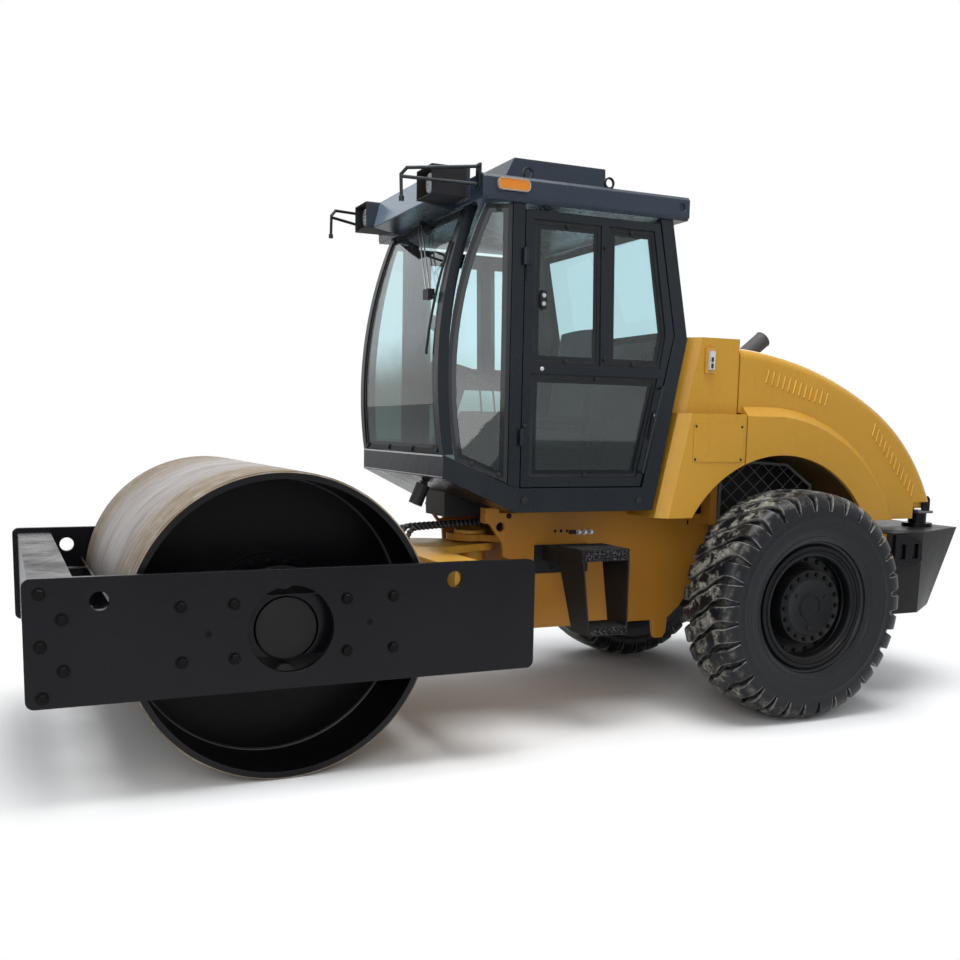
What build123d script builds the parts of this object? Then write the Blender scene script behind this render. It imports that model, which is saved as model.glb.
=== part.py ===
from build123d import *
import os
from math import atan2, cos, degrees, hypot, pi, sin

# Single-drum soil compactor with a cab. Millimetres, +X forward, +Y to the machine's left, +Z up.
# The origin lies on the ground, in the middle of the machine's length and width.

os.makedirs("parts", exist_ok=True)

# ---------------------------------------------------------------- driving dimensions
drum_r = 761.5
tyre_r = 700.0
drum_to_front_beam = 198.5  # drum's face to the front crossbeam
drum_to_rear_beam = 98.5
front_beam_depth = 190.0
rear_beam_depth = 240.0
plate_lip = 30.0  # side plates ahead of the front crossbeam
beam_to_pin = 350.0  # rear crossbeam to the articulation pin
pin_to_axle = 1750.0  # articulation pin to the rear axle
rear_overhang = 1670.0  # rear axle to the back of the counterweight

run_gap = 0.3  # seats that touch without sharing a face
shaft_gap = 0.05  # radial play of a shaft in its bore
clear = 10.0  # room left beside parts that move

drum_half_width = 1065.0
carrier_to_plate = 65.0  # drum carriers' outer faces to the side plates
carrier_out_y = drum_half_width + clear

front_overhang = drum_r + drum_to_front_beam + front_beam_depth + plate_lip
pin_back = drum_r + drum_to_rear_beam + rear_beam_depth + beam_to_pin
overall = front_overhang + pin_back + pin_to_axle + rear_overhang
drum_x = overall / 2 - front_overhang
pivot_x = drum_x - pin_back
rear_x = pivot_x - pin_to_axle
tail_x = rear_x - rear_overhang
front_beam_x = drum_x + drum_r + drum_to_front_beam + front_beam_depth
rear_beam_x = drum_x - drum_r - drum_to_rear_beam
rear_beam_back_x = rear_beam_x - rear_beam_depth
station = 1450.0  # places on the rear frame are counted from here, ahead of the articulation pin


def at(x):
    """Turns a place on the rear frame into the machine's own X."""
    return pivot_x + station + x


# ---------------------------------------------------------------- making of plain shapes
def block(x0, x1, y0, y1, z0, z1):
    """A box between two corners."""
    size = Box(abs(x1 - x0), abs(y1 - y0), abs(z1 - z0))
    return Pos((x0 + x1) / 2, (y0 + y1) / 2, (z0 + z1) / 2) * size


def bar(axis, x, y, z, radius, length):
    """A round bar about X, Y or Z, given by its middle."""
    turn = {"x": Rot(0, 90, 0), "y": Rot(90, 0, 0), "z": Rot(0, 0, 0)}[axis]
    return Pos(x, y, z) * turn * Cylinder(radius, length)


def slab(outline, y0, y1):
    """A side view outline, closed in X and Z, made solid from y0 to y1."""
    return Pos(0, y1, 0) * extrude(Plane.XZ * make_face(outline), y1 - y0)


def side(points, y0, y1):
    """The same from corner points alone."""
    return slab(Polyline(*points, close=True), y0, y1)


def plan(points, z0, z1):
    """A plan outline in X and Y, made solid from z0 to z1."""
    return Pos(0, 0, z0) * extrude(make_face(Polyline(*points, close=True)), z1 - z0)


def turned(points, x, z):
    """Half a cross section, as radius and Y, turned about the Y axis through x and z."""
    ring = revolve(Plane.XY * make_face(Polyline(*points, close=True)), Axis.Y)
    return Pos(x, 0, z) * ring


def both(*shapes):
    """Left-hand shapes and their right-hand mirrors."""
    return [*shapes, *[mirror(shape, about=Plane.XZ) for shape in shapes]]


def save(name, *shapes):
    """Writes one sub-part from its solids."""
    export_step(Compound([s for shape in shapes for s in shape.solids()]), f"parts/{name}.step")


# ---------------------------------------------------------------- front frame: side plates
plate_t = 35.0
plate_low_z = 487.0
plate_high_z = 1065.0
plate_rear_x = pivot_x + 150
plate_corner_r = 38.0
access_r = 210.0  # opening over the drum's bearing
tie_r = 43.0  # tie-down holes
tie_spots = [(862.0, 955.0), (-845.0, 977.0)]  # x from the drum's axle, z

plate_in_y = carrier_out_y + carrier_to_plate
plate_out_y = plate_in_y + plate_t
plate_mid_z = (plate_low_z + plate_high_z) / 2


def side_plate():
    front_x = drum_x + front_overhang
    plate = block(plate_rear_x, front_x, plate_in_y, plate_out_y, plate_low_z, plate_high_z)
    plate = fillet(plate.edges().filter_by(Axis.Y), plate_corner_r)
    middle_y = (plate_in_y + plate_out_y) / 2
    plate -= bar("y", drum_x, middle_y, plate_mid_z, access_r, 2 * plate_t)
    for x, z in tie_spots:
        plate -= bar("y", drum_x + x, middle_y, z, tie_r, 2 * plate_t)
    return plate


save("side_plates", *both(side_plate()))

# ---------------------------------------------------------------- front frame: crossbeams
beam_low_z = 520.0
beam_high_z = 1040.0
rear_beam_high_z = 1030.0
pin_r = 55.0  # articulation pin
tongue_r = 150.0
tongue_plate_t = 45.0
tongue_root_y = 300.0
ear_t = 40.0
ear_gap = 15.0
steer_z = 800.0  # height of the steering cylinders
steer_eye_y = 330.0
steer_eye_r = 50.0
steer_eye_half = 25.0
steer_lug_t = 25.0
steer_lug_gap = 5.0
steer_lug_back = 100.0  # crossbeam to a cylinder pin
steer_boss_r = 34.0
lug_reach = steer_eye_half + steer_lug_gap
steer_lug_z = [steer_z - lug_reach - steer_lug_t, steer_z + lug_reach]

beam_y = plate_in_y - run_gap
front_beam_back_x = front_beam_x - front_beam_depth
front_beam = block(front_beam_back_x, front_beam_x, -beam_y, beam_y, beam_low_z, beam_high_z)
save("front_crossbeam", front_beam)

tongue_low_z = beam_low_z + ear_t + ear_gap


def tongue_plate(z0, z1):
    root = rear_beam_back_x
    outline = [(root, -tongue_root_y), (root, tongue_root_y), (pivot_x, tongue_r), (pivot_x, -tongue_r)]
    return plan(outline, z0, z1) + bar("z", pivot_x, 0, (z0 + z1) / 2, tongue_r, z1 - z0)


def rear_crossbeam():
    beam = block(rear_beam_back_x, rear_beam_x, -beam_y, beam_y, beam_low_z, rear_beam_high_z)
    beam += tongue_plate(rear_beam_high_z - tongue_plate_t, rear_beam_high_z)
    beam += tongue_plate(tongue_low_z, tongue_low_z + tongue_plate_t)
    middle = (tongue_low_z + rear_beam_high_z) / 2
    height = rear_beam_high_z - tongue_low_z
    beam += bar("z", pivot_x, 0, middle, pin_r + 35, height)
    for hand in (-1, 1):
        lug_y = hand * steer_eye_y
        for z in steer_lug_z:
            lug_back_x = rear_beam_back_x - 150
            beam += block(lug_back_x, rear_beam_back_x, lug_y - 60, lug_y + 60, z, z + steer_lug_t)
            out = 1 if z > steer_z else -1
            boss_z = z + steer_lug_t / 2 + out * 8
            beam += bar("z", rear_beam_back_x - steer_lug_back, lug_y, boss_z, steer_boss_r, steer_lug_t + 16)
    beam += block(pivot_x, rear_beam_back_x, -25, 25, tongue_low_z, rear_beam_high_z)
    return beam - bar("z", pivot_x, 0, middle, pin_r + shaft_gap, height * 2)


save("rear_crossbeam", rear_crossbeam())

# ---------------------------------------------------------------- drum
drum_shell_t = 40.0
drum_head_y = 680.0  # outer face of an end plate
drum_head_t = 30.0
drum_hub_r = 324.0
drum_hub_t = 50.0
drum_edge = 9.0
stub_r = 110.0

drum_in_r = drum_r - drum_shell_t
save(
    "drum_shell",
    turned(
        [
            (drum_in_r, -drum_half_width),
            (drum_r - drum_edge, -drum_half_width),
            (drum_r, -drum_half_width + drum_edge),
            (drum_r, drum_half_width - drum_edge),
            (drum_r - drum_edge, drum_half_width),
            (drum_in_r, drum_half_width),
        ],
        drum_x,
        drum_r,
    ),
)

drum_hub_y = drum_head_y + drum_hub_t
drum_head = turned(
    [
        (stub_r + shaft_gap, drum_head_y - drum_head_t),
        (drum_in_r - run_gap, drum_head_y - drum_head_t),
        (drum_in_r - run_gap, drum_head_y),
        (drum_hub_r, drum_head_y),
        (drum_hub_r, drum_hub_y),
        (stub_r + shaft_gap, drum_hub_y),
    ],
    drum_x,
    drum_r,
)
save("drum_heads", *both(drum_head))

# ---------------------------------------------------------------- drum carriers and rubber mounts
carrier_half_x = 550.0
carrier_half_z = 150.0
carrier_t = 40.0
pad_x0 = 240.0
pad_x1 = 540.0
mount_ring_r = 230.0
mount_r = 45.0
mount_count = 6
mount_len = 70.0
cap_r = 150.0
housing_r = 290.0
housing_t = 35.0

carrier_in_y = carrier_out_y - carrier_t
housing_y = carrier_in_y - mount_len
carrier = block(
    drum_x - carrier_half_x,
    drum_x + carrier_half_x,
    carrier_in_y,
    carrier_out_y,
    plate_mid_z - carrier_half_z,
    plate_mid_z + carrier_half_z,
)
carrier -= bar("y", drum_x, carrier_in_y, drum_r, cap_r + clear, 4 * carrier_t)
for lean in (-1, 1):
    pad_start, pad_end = sorted([drum_x + lean * pad_x0, drum_x + lean * pad_x1])
    carrier += block(
        pad_start,
        pad_end,
        carrier_out_y,
        plate_in_y - run_gap,
        plate_mid_z - carrier_half_z,
        plate_mid_z + carrier_half_z,
    )
save("drum_carriers", *both(carrier))

mounts = []
for n in range(mount_count):
    turn = 2 * pi * (n + 0.5) / mount_count
    x = drum_x + mount_ring_r * cos(turn)
    z = drum_r + mount_ring_r * sin(turn)
    long = mount_len - 2 * run_gap
    mounts.append(bar("y", x, carrier_in_y - mount_len / 2, z, mount_r, long))
save("drum_rubber_mounts", *both(*mounts))

bearing = turned(
    [
        (0, drum_head_y - drum_head_t),
        (stub_r, drum_head_y - drum_head_t),
        (stub_r, drum_hub_y + clear),
        (stub_r + 60, drum_hub_y + clear),
        (stub_r + 60, housing_y - housing_t),
        (housing_r, housing_y - housing_t),
        (housing_r, housing_y),
        (cap_r, housing_y),
        (cap_r, carrier_out_y),
        (0, carrier_out_y),
    ],
    drum_x,
    drum_r,
)
save("drum_bearings", *both(bearing))

# ---------------------------------------------------------------- scrapers
scraper_gap = 18.0
scraper_half_y = 1020.0
scraper_z = 800.0
blade_t = 14.0
blade_x = (drum_r**2 - (scraper_z - drum_r) ** 2) ** 0.5 + scraper_gap


def scraper(lean, beam_x):
    """A flat blade beside the drum on three brackets from its crossbeam."""
    x0, x1 = sorted([drum_x + lean * blade_x, drum_x + lean * (blade_x + blade_t)])
    blade = block(x0, x1, -scraper_half_y, scraper_half_y, scraper_z - 90, scraper_z + 90)
    for y in (-800.0, 0.0, 800.0):
        b0, b1 = sorted([drum_x + lean * (blade_x + blade_t), beam_x - lean * run_gap])
        blade += block(b0, b1, y - 40, y + 40, scraper_z - 50, scraper_z + 50)
    return blade


save("scrapers", scraper(1, front_beam_back_x), scraper(-1, rear_beam_x))

# ---------------------------------------------------------------- rear wheels
tyre_out_y = 1200.0
tyre_w = 450.0
lug_h = 40.0
lug_count = 24
rim_flange_r = 372.0
rim_seat_r = 318.0
wheel_hub_r = 226.0
wheel_hub_y = 1140.0
wheel_bore_r = 60.0

tyre_mid_y = tyre_out_y - tyre_w / 2
half_w = tyre_w / 2
carcass_r = tyre_r - lug_h
# radius, and how far out of the tyre's middle plane
tyre_half = [
    (rim_seat_r, 0.70),
    (rim_flange_r + 8, 0.72),
    (500.0, 1.0),
    (600.0, 0.94),
    (carcass_r, 0.60),
]
section = [(r, tyre_mid_y - share * half_w) for r, share in tyre_half]
section += [(r, tyre_mid_y + share * half_w) for r, share in reversed(tyre_half)]
carcass = turned(section, rear_x, tyre_r)
seam_turn = 2.4  # degrees that keep the carcass's seam off the lugs' middles
carcass = Pos(rear_x, 0, tyre_r) * Rot(0, seam_turn, 0) * Pos(-rear_x, 0, -tyre_r) * carcass

lug_width = 84.0
lug_lean = 62.0  # how far a lug's inner end is carried round ahead of its shoulder
lug_foot_r = carcass_r - 58
lug_in_y = 0.03
# how far out of the tyre's middle plane, and the height over the axle there
lug_top = [(lug_in_y, tyre_r - 8.2), (0.86, tyre_r - 3), (1.0, tyre_r - 88)]


def lug(hand):
    """A slanted block of rubber over the axle, on one half of the tread."""

    def across(share):
        return tyre_mid_y + hand * share * half_w

    half = lug_width / 2
    footprint = [
        (lug_lean - half, across(lug_in_y)),
        (lug_lean + half, across(lug_in_y)),
        (half, across(1.0)),
        (-half, across(1.0)),
    ]
    height = [(across(share), r) for share, r in lug_top]
    height += [(across(1.0), lug_foot_r), (across(lug_in_y), lug_foot_r)]
    profile = Pos(-300, 0, 0) * extrude(Plane.YZ * make_face(Polyline(*height, close=True)), 600)
    return plan(footprint, lug_foot_r - 1, tyre_r + 1) & profile


def tyre():
    lugs = []
    for hand, shift in ((-1, 0.0), (1, 0.5)):
        one = lug(hand)
        for n in range(lug_count):
            lugs.append(Pos(rear_x, 0, tyre_r) * Rot(0, (n + shift) * 360 / lug_count, 0) * one)
    return carcass.fuse(*lugs)


left_tyre = tyre()
save("tyre_left", left_tyre)
save("tyre_right", mirror(left_tyre, about=Plane.XZ))

rim_in_y = tyre_mid_y - 0.70 * half_w
rim_out_y = tyre_mid_y + 0.70 * half_w
rim_t = 12.0
disc_y = tyre_mid_y + 70
disc_t = 22.0
hub_in_y = tyre_mid_y - half_w + 60
seat = rim_seat_r - run_gap
rim = turned(
    [
        (seat, rim_in_y - 8),
        (rim_flange_r, rim_in_y - 8),
        (rim_flange_r, rim_in_y - 24),
        (seat - rim_t, rim_in_y - 24),
        (seat - rim_t, disc_y - disc_t),
        (wheel_hub_r, disc_y - disc_t),
        (wheel_hub_r, hub_in_y),
        (wheel_bore_r + shaft_gap, hub_in_y),
        (wheel_bore_r + shaft_gap, wheel_hub_y - 60),
        (0, wheel_hub_y - 60),
        (0, wheel_hub_y),
        (wheel_hub_r, wheel_hub_y),
        (wheel_hub_r, disc_y),
        (seat - rim_t, disc_y),
        (seat - rim_t, rim_out_y + 24),
        (rim_flange_r, rim_out_y + 24),
        (rim_flange_r, rim_out_y + 8),
        (seat, rim_out_y + 8),
    ],
    rear_x,
    tyre_r,
)
save("rim_left", rim)
save("rim_right", mirror(rim, about=Plane.XZ))

# ---------------------------------------------------------------- rear axle
axle_r = 115.0
diff_r = 215.0
brake_r = 195.0
spindle_end_y = wheel_hub_y - 60 - clear
brake_in_y = 560.0
brake_out_y = hub_in_y - clear
pad_half_x = 160.0
axle_pad_y = 400.0
axle_pad_top = tyre_r + 160

half_axle = [
    (0, 0),
    (diff_r, 0),
    (diff_r - 20, 110),
    (axle_r, 210),
    (axle_r, brake_in_y),
    (brake_r, brake_in_y),
    (brake_r, brake_out_y),
    (wheel_bore_r, brake_out_y),
    (wheel_bore_r, spindle_end_y),
    (0, spindle_end_y),
]
left_axle = turned(half_axle, rear_x, tyre_r)
axle = left_axle + mirror(left_axle, about=Plane.XZ)
for hand in (-1, 1):
    axle += block(
        rear_x - pad_half_x,
        rear_x + pad_half_x,
        hand * axle_pad_y - 90,
        hand * axle_pad_y + 90,
        tyre_r + 60,
        axle_pad_top - run_gap,
    )
save("rear_axle", axle)

# ---------------------------------------------------------------- chassis
chassis_y = 470.0  # outer faces of the rails
rail_t = 30.0
chassis_low_z = 545.0
deck_z = 1245.0
frame_rear_z = 1105.0
mesh_y = 560.0  # the wire screens beside the engine
shoulder_z = 1215.0  # top of the rails beside the tank
cab_low_z = 1275.0
rail_outline = [
    (at(-1330), deck_z),
    (at(-1330), 1231.0),
    (at(-1448), 1066.0),
    (at(-1455), 985.0),
    (at(-1600), 940.0),
    (at(-1640), chassis_low_z),
    (at(-2620), chassis_low_z),
    (at(-2720), 627.0),
    (rear_x + 330, axle_pad_top),
    (rear_x - 330, axle_pad_top),
    (rear_x - 430, 640.0),
    (tail_x + 560, 640.0),
    (tail_x + 560, frame_rear_z),
    (at(-3010), frame_rear_z),
    (at(-2990), shoulder_z),
    (at(-2400), shoulder_z),
    (at(-2380), deck_z),
]
rail_in_y = chassis_y - rail_t
rail = side(rail_outline, rail_in_y, chassis_y)
rail -= bar("y", at(-1434), chassis_y, 1163.0, 28.0, 4 * rail_t)
rail += block(at(-1425), at(-1335), rail_in_y - 40, chassis_y, deck_z - 60, cab_low_z - run_gap)
rail += block(at(-4040), at(-4015), chassis_y - 5, 880.0, 830.0, 1095.0)
rail += block(at(-2912), at(-2860), chassis_y - 5, mesh_y, shoulder_z - 60, 1480.0)
save("chassis_rails", *both(rail))

wall_x = at(-1650)
wall_t = 25.0
inner_y = rail_in_y - run_gap


def ear(z0, z1):
    root = wall_x
    outline = [(root, -tongue_root_y), (root, tongue_root_y), (pivot_x, tongue_r), (pivot_x, -tongue_r)]
    return plan(outline, z0, z1) + bar("z", pivot_x, 0, (z0 + z1) / 2, tongue_r, z1 - z0)


upper_ear_z = rear_beam_high_z + ear_gap
lower_ear_z = tongue_low_z - ear_gap
nose = block(wall_x - wall_t, wall_x, -inner_y, inner_y, beam_low_z, upper_ear_z + ear_t)
nose += ear(upper_ear_z, upper_ear_z + ear_t) + ear(lower_ear_z - ear_t, lower_ear_z)
nose -= bar("z", pivot_x, 0, plate_mid_z, pin_r + shaft_gap, 2000)
for hand in (-1, 1):
    nose -= block(wall_x - wall_t - 1, wall_x + 1, hand * 95, hand * 420, steer_z - 70, steer_z + 70)

belly_back = at(-2600)
belly = block(belly_back, wall_x - wall_t - run_gap, -inner_y, inner_y, chassis_low_z, chassis_low_z + wall_t)
belly += block(belly_back, belly_back + wall_t, -inner_y, inner_y, chassis_low_z, frame_rear_z - 20)
deck = block(at(-2290), at(-1560), -inner_y, inner_y, deck_z - wall_t, deck_z)

pin_low = lower_ear_z - ear_t - 20
pin_high = upper_ear_z + ear_t + 20
pin = bar("z", pivot_x, 0, (pin_low + pin_high) / 2, pin_r, pin_high - pin_low)
pin += bar("z", pivot_x, 0, upper_ear_z + ear_t + run_gap + 10, pin_r + 45, 20)
save("articulation_pin", pin)

# ---------------------------------------------------------------- steering cylinders
steer_rear = (at(-2050), 200.0)
steer_front = (rear_beam_back_x - steer_lug_back, steer_eye_y)
steer_barrel_r = 48.0
steer_rod_r = 22.0
steer_pin_r = 22.0
steer_dx = steer_front[0] - steer_rear[0]
steer_dy = steer_front[1] - steer_rear[1]
steer_long = hypot(steer_dx, steer_dy)
steer_yaw = degrees(atan2(steer_dy, steer_dx))
barrel_start = 75.0
barrel_end = 560.0
rod_start = 300.0
bore_start = 90.0


def along_cylinder(shape):
    """Lays a shape made along X on the left cylinder's line."""
    return Pos(*steer_rear, steer_z) * Rot(0, 0, steer_yaw) * shape


barrel_len = barrel_end - barrel_start
barrel = bar("x", barrel_start + barrel_len / 2, 0, 0, steer_barrel_r, barrel_len)
barrel += bar("z", 0, 0, 0, steer_eye_r, 2 * steer_eye_half)
barrel += block(0, barrel_start + 10, -30, 30, -steer_eye_half, steer_eye_half)
barrel -= bar("z", 0, 0, 0, steer_pin_r + shaft_gap, 2 * steer_eye_half + 10)
bore_end = barrel_end + 1
barrel -= bar("x", (bore_start + bore_end) / 2, 0, 0, steer_rod_r + shaft_gap, bore_end - bore_start)
rod = bar("x", (rod_start + steer_long) / 2, 0, 0, steer_rod_r, steer_long - rod_start)
rod += bar("z", steer_long, 0, 0, steer_eye_r, 2 * steer_eye_half)
save("steer_barrel_left", along_cylinder(barrel))
save("steer_barrel_right", mirror(along_cylinder(barrel), about=Plane.XZ))
save("steer_rod_left", along_cylinder(rod))
save("steer_rod_right", mirror(along_cylinder(rod), about=Plane.XZ))
bracket = bar("z", *steer_rear, steer_z, steer_pin_r, 2 * (steer_eye_half + steer_lug_gap + steer_lug_t))
for z in steer_lug_z:
    bracket += block(steer_rear[0] - 60, steer_rear[0] + 50, steer_rear[1] - 55, inner_y, z, z + steer_lug_t)
save("chassis_plates", nose, belly, deck, *both(bracket))

# ---------------------------------------------------------------- counterweight
weight_y = 930.0
weight_tail_y = 700.0
weight_low_z = 570.0
weight_front_x = tail_x + 825
# where the side turns in, the tail, and the height: the weight leans in all round its back
weight_levels = [(tail_x + 570, tail_x + 230, weight_low_z), (tail_x + 562, tail_x, frame_rear_z)]
weight_faces = []
for corner_x, back_x, z in weight_levels:
    half = [(weight_front_x, weight_y), (corner_x, weight_y), (back_x, weight_tail_y)]
    ring = half + [(x, -y) for x, y in reversed(half)]
    weight_faces.append(Pos(0, 0, z) * make_face(Polyline(*ring, close=True)))
weight = loft(weight_faces, ruled=True)
slot_y = chassis_y + run_gap
weight -= block(tail_x + 560 - run_gap, weight_front_x + 1, -slot_y, slot_y, 0, 2000)
save("counterweight", weight)

lug_outline = [(-4040, 1095), (-4150, 1095), (-4266, 1050), (-4280, 925), (-4240, 890), (-4040, 910)]
lug_slots = (-4215, -4105)
lug_plate = side([(at(x), z) for x, z in lug_outline], weight_y + run_gap, weight_y + 30)
for x in lug_slots:
    lug_plate -= block(at(x - 26), at(x + 26), weight_y - 5, weight_y + 50, 935.0, 1035.0)
save("tie_down_lugs", *both(lug_plate))

# ---------------------------------------------------------------- engine
engine_low_z = tyre_r + diff_r + 5
engine = block(rear_x - 650, at(-2700), -330, 330, engine_low_z, engine_low_z + 730)
for x in (at(-2800), rear_x - 560):
    engine += block(x - 50, x + 50, -inner_y, inner_y, engine_low_z + 20, engine_low_z + 80)
save("engine_block", engine)

# ---------------------------------------------------------------- steps
step_y = 950.0
step_back_y = chassis_y + run_gap
step_rear_x = at(-2025)
hanger_t = 10.0
# upper and lower tread: front x, inner y, underside, top
upper_x, upper_y, upper_low_z, upper_z = at(-1710), 647.0, 1004.0, 1068.0
lower_x, lower_y, lower_low_z, lower_z = at(-1768), 757.0, 575.0, 625.0

front_view = [(upper_y, upper_z), (step_y, upper_z), (step_y, lower_low_z), (lower_y, lower_low_z)]
hanger_form = Pos(at(-2100), 0, 0) * extrude(Plane.YZ * make_face(Polyline(*front_view, close=True)), 500)
hanger_line = [(upper_x, upper_z), (lower_x, lower_low_z)]
hanger_line += [(x - hanger_t, z) for x, z in reversed(hanger_line)]
steps = block(step_rear_x, upper_x, upper_y, step_y, upper_low_z, upper_z)
steps += block(step_rear_x, lower_x, lower_y, step_y, lower_low_z, lower_z)
steps += side(hanger_line, upper_y, step_y) & hanger_form
steps += block(step_rear_x, step_rear_x + hanger_t, upper_y, step_y, lower_low_z, upper_z) & hanger_form
for x in (step_rear_x, upper_x - hanger_t):
    steps += block(x, x + hanger_t, step_back_y, upper_y + 1, 960.0, 1050.0)
steps += block(step_rear_x, at(-1660), step_back_y, step_back_y + 12, 880.0, 1050.0)
save("steps", *both(steps))

# ---------------------------------------------------------------- cab: base, posts and header
cab_y = 800.0
cab_wall = 50.0
cab_front_x = at(-975)
cab_corner_x = at(-1370)
cab_roof_z = 2935.0
cab_front_low_z = 1460.0
rear_knee_z = 2278.0  # where the cab's back is farthest out
sill_front_z = 1590.0
sill_z = 1410.0
screen_low_y = 685.0
screen_high_y = 610.0
glass_t = 8.0
seal = run_gap
post_t = 60.0


def cab_plan(inset, z0, z1):
    """The cab's plan outline, drawn in by inset."""
    front = cab_front_x - inset
    corner = cab_corner_x - inset / 3
    rear = at(-2330) + inset
    y = cab_y - inset
    front_y = screen_low_y - inset
    return plan(
        [(front, -front_y), (front, front_y), (corner, y), (rear, y), (rear, -y), (corner, -y)],
        z0,
        z1,
    )


sill_band = side(
    [
        (cab_front_x + 1, cab_front_low_z),
        (cab_front_x + 1, sill_front_z),
        (cab_corner_x, sill_z),
        (at(-2291), sill_z),
        (at(-2264), cab_low_z),
        (cab_corner_x, cab_low_z),
    ],
    -cab_y,
    cab_y,
)
floor_cut = side(
    [
        (cab_front_x + 1, cab_front_low_z + cab_wall),
        (cab_front_x + 1, sill_front_z + 1),
        (at(-2400), sill_front_z + 1),
        (at(-2400), cab_low_z + cab_wall),
        (cab_corner_x, cab_low_z + cab_wall),
    ],
    -cab_y,
    cab_y,
)
cab_base = cab_plan(0, cab_low_z, sill_front_z + 1) & sill_band
cab_base -= cab_plan(cab_wall, cab_low_z, sill_front_z + 1) & floor_cut

screen_low = (cab_front_x, sill_front_z)
screen_mid = (at(-945), 2030.0)
screen_high = (at(-1130), cab_roof_z)


def screen_arc(depth):
    """The windscreen's side view line, moved back by depth."""
    return ThreePointArc(*[(x - depth, z) for x, z in (screen_low, screen_mid, screen_high)])


def crescent(near, far, y0, y1):
    """The space between two such lines."""
    front = screen_arc(near)
    back = screen_arc(far)
    wire = Wire([front, Line(front @ 1, back @ 1), back, Line(back @ 0, front @ 0)])
    return slab(wire, y0, y1)


def leaning(y_low, y_high):
    """A front view strip that leans in towards the roof, on the left."""
    outline = [
        (y_low[0], sill_front_z - 1),
        (y_low[1], sill_front_z - 1),
        (y_high[1], cab_roof_z + 1),
        (y_high[0], cab_roof_z + 1),
    ]
    face = Plane.YZ * make_face(Polyline(*outline, close=True))
    return Pos(at(-1500), 0, 0) * extrude(face, 1000)


post_low = (screen_low_y - post_t, screen_low_y)
post_high = (screen_high_y - post_t, screen_high_y)
front_post = crescent(0, post_t, 0, cab_y) & leaning(post_low, post_high)
sill_slope = (sill_front_z - sill_z) / (cab_front_x - cab_corner_x)
door_post = side(
    [
        (at(-1385), sill_z + run_gap),
        (cab_corner_x, sill_z + run_gap),
        (at(-1315), sill_z + sill_slope * (at(-1315) - cab_corner_x) + run_gap),
        (at(-1315), cab_roof_z),
        (at(-1385), cab_roof_z),
    ],
    cab_y - cab_wall,
    cab_y,
)
rear_post = side(
    [
        (at(-2330), cab_roof_z),
        (at(-2460), rear_knee_z),
        (at(-2291), sill_z + run_gap),
        (at(-2190), sill_z + run_gap),
        (at(-2375), 2287.0),
        (at(-2250), cab_roof_z),
    ],
    cab_y - cab_wall,
    cab_y,
)
save("cab_posts", *both(front_post, door_post, rear_post))

# ---------------------------------------------------------------- cab: roof
roof_y = 830.0
roof_high_z = 3065.0
roof_front_x = at(-1120)
roof_rear_x = at(-2420)
roof_box_y = 500.0
roof_box_z = 3245.0
visor_front_x = at(-950)
visor_low_z = 2965.0
visor_high_z = 3120.0
roof = block(roof_rear_x, roof_front_x, -roof_y, roof_y, cab_roof_z + run_gap, roof_high_z)
roof = chamfer(roof.edges().filter_by(Axis.X), 18.0)
box_line = [(-1370, roof_high_z), (-1460, roof_box_z), (-2050, roof_box_z), (-2060, roof_high_z)]
roof += side([(at(x), z) for x, z in box_line], -roof_box_y, roof_box_y)
for hand in (-1, 1):
    roof -= bar("y", at(-2370), hand * roof_y, 3005.0, 22.0, 24.0)
visor = side(
    [
        (roof_front_x, cab_roof_z + run_gap),
        (visor_front_x, visor_low_z),
        (visor_front_x - 40, visor_high_z),
        (roof_front_x, visor_high_z),
    ],
    -430.0,
    430.0,
)
lamp_y0 = 430.0
lamp_y1 = 655.0
lamp_wall = 7.0
housing = block(roof_front_x, at(-900), lamp_y0, lamp_y1, visor_low_z, visor_high_z)
funnel = []
for x, inset in ((-980, 2.2 * lamp_wall), (-899, lamp_wall)):
    y0, y1 = lamp_y0 + inset, lamp_y1 - inset
    z0, z1 = visor_low_z + inset, visor_high_z - inset
    corners = [(y0, z0), (y1, z0), (y1, z1), (y0, z1)]
    funnel.append(Pos(at(x), 0, 0) * (Plane.YZ * make_face(Polyline(*corners, close=True))))
housing -= loft(funnel, ruled=True)
left_housing, right_housing = both(housing)
save("roof", roof + visor + left_housing + right_housing)
lamp_y = (lamp_y0 + lamp_y1) / 2
lamp_z = (visor_low_z + visor_high_z) / 2
work_lamp = bar("x", at(-955), lamp_y, lamp_z, 52.0, 49.0)
save("work_lamps", *both(work_lamp))
amber = block(at(-1385), at(-1200), roof_y + run_gap, roof_y + 22, 2985.0, 3045.0)
save("side_lamps", *both(fillet(amber.edges().filter_by(Axis.Y), 20.0)))


def rod_between(p, q, radius):
    """A round rod from point to point."""
    p, q = Vector(*p), Vector(*q)
    return Solid(extrude(Plane(p, z_dir=q - p) * Circle(radius), (q - p).length).wrapped)


def chain(points, radius):
    """A round rod bent sharply at each corner point."""
    start = Vector(*points[0])
    profile = Plane(start, z_dir=Vector(*points[1]) - start) * Circle(radius)
    return Solid(sweep(profile, path=Polyline(*points), transition=Transition.RIGHT).wrapped)


mirror_root = roof_front_x + run_gap + 12
mirror_tip = at(-735)
arm_y = 780.0
upper_arm = [(mirror_root, arm_y, 3100), (mirror_tip - 30, 640, 3085)]
upper_arm += [(mirror_tip, 630, 3050), (mirror_tip, 640, 2930)]
arm = chain(upper_arm, 9.0)
arm += chain([(mirror_tip - 2, 632, 3040), (mirror_root, arm_y, 3010)], 9.0)
arm += bar("z", mirror_tip, 640, 2926, 14.0, 24.0)
arm += block(roof_front_x + run_gap, mirror_root, arm_y - 25, arm_y + 25, 2990, 3115)
save("mirror_arms", *both(arm))

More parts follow.
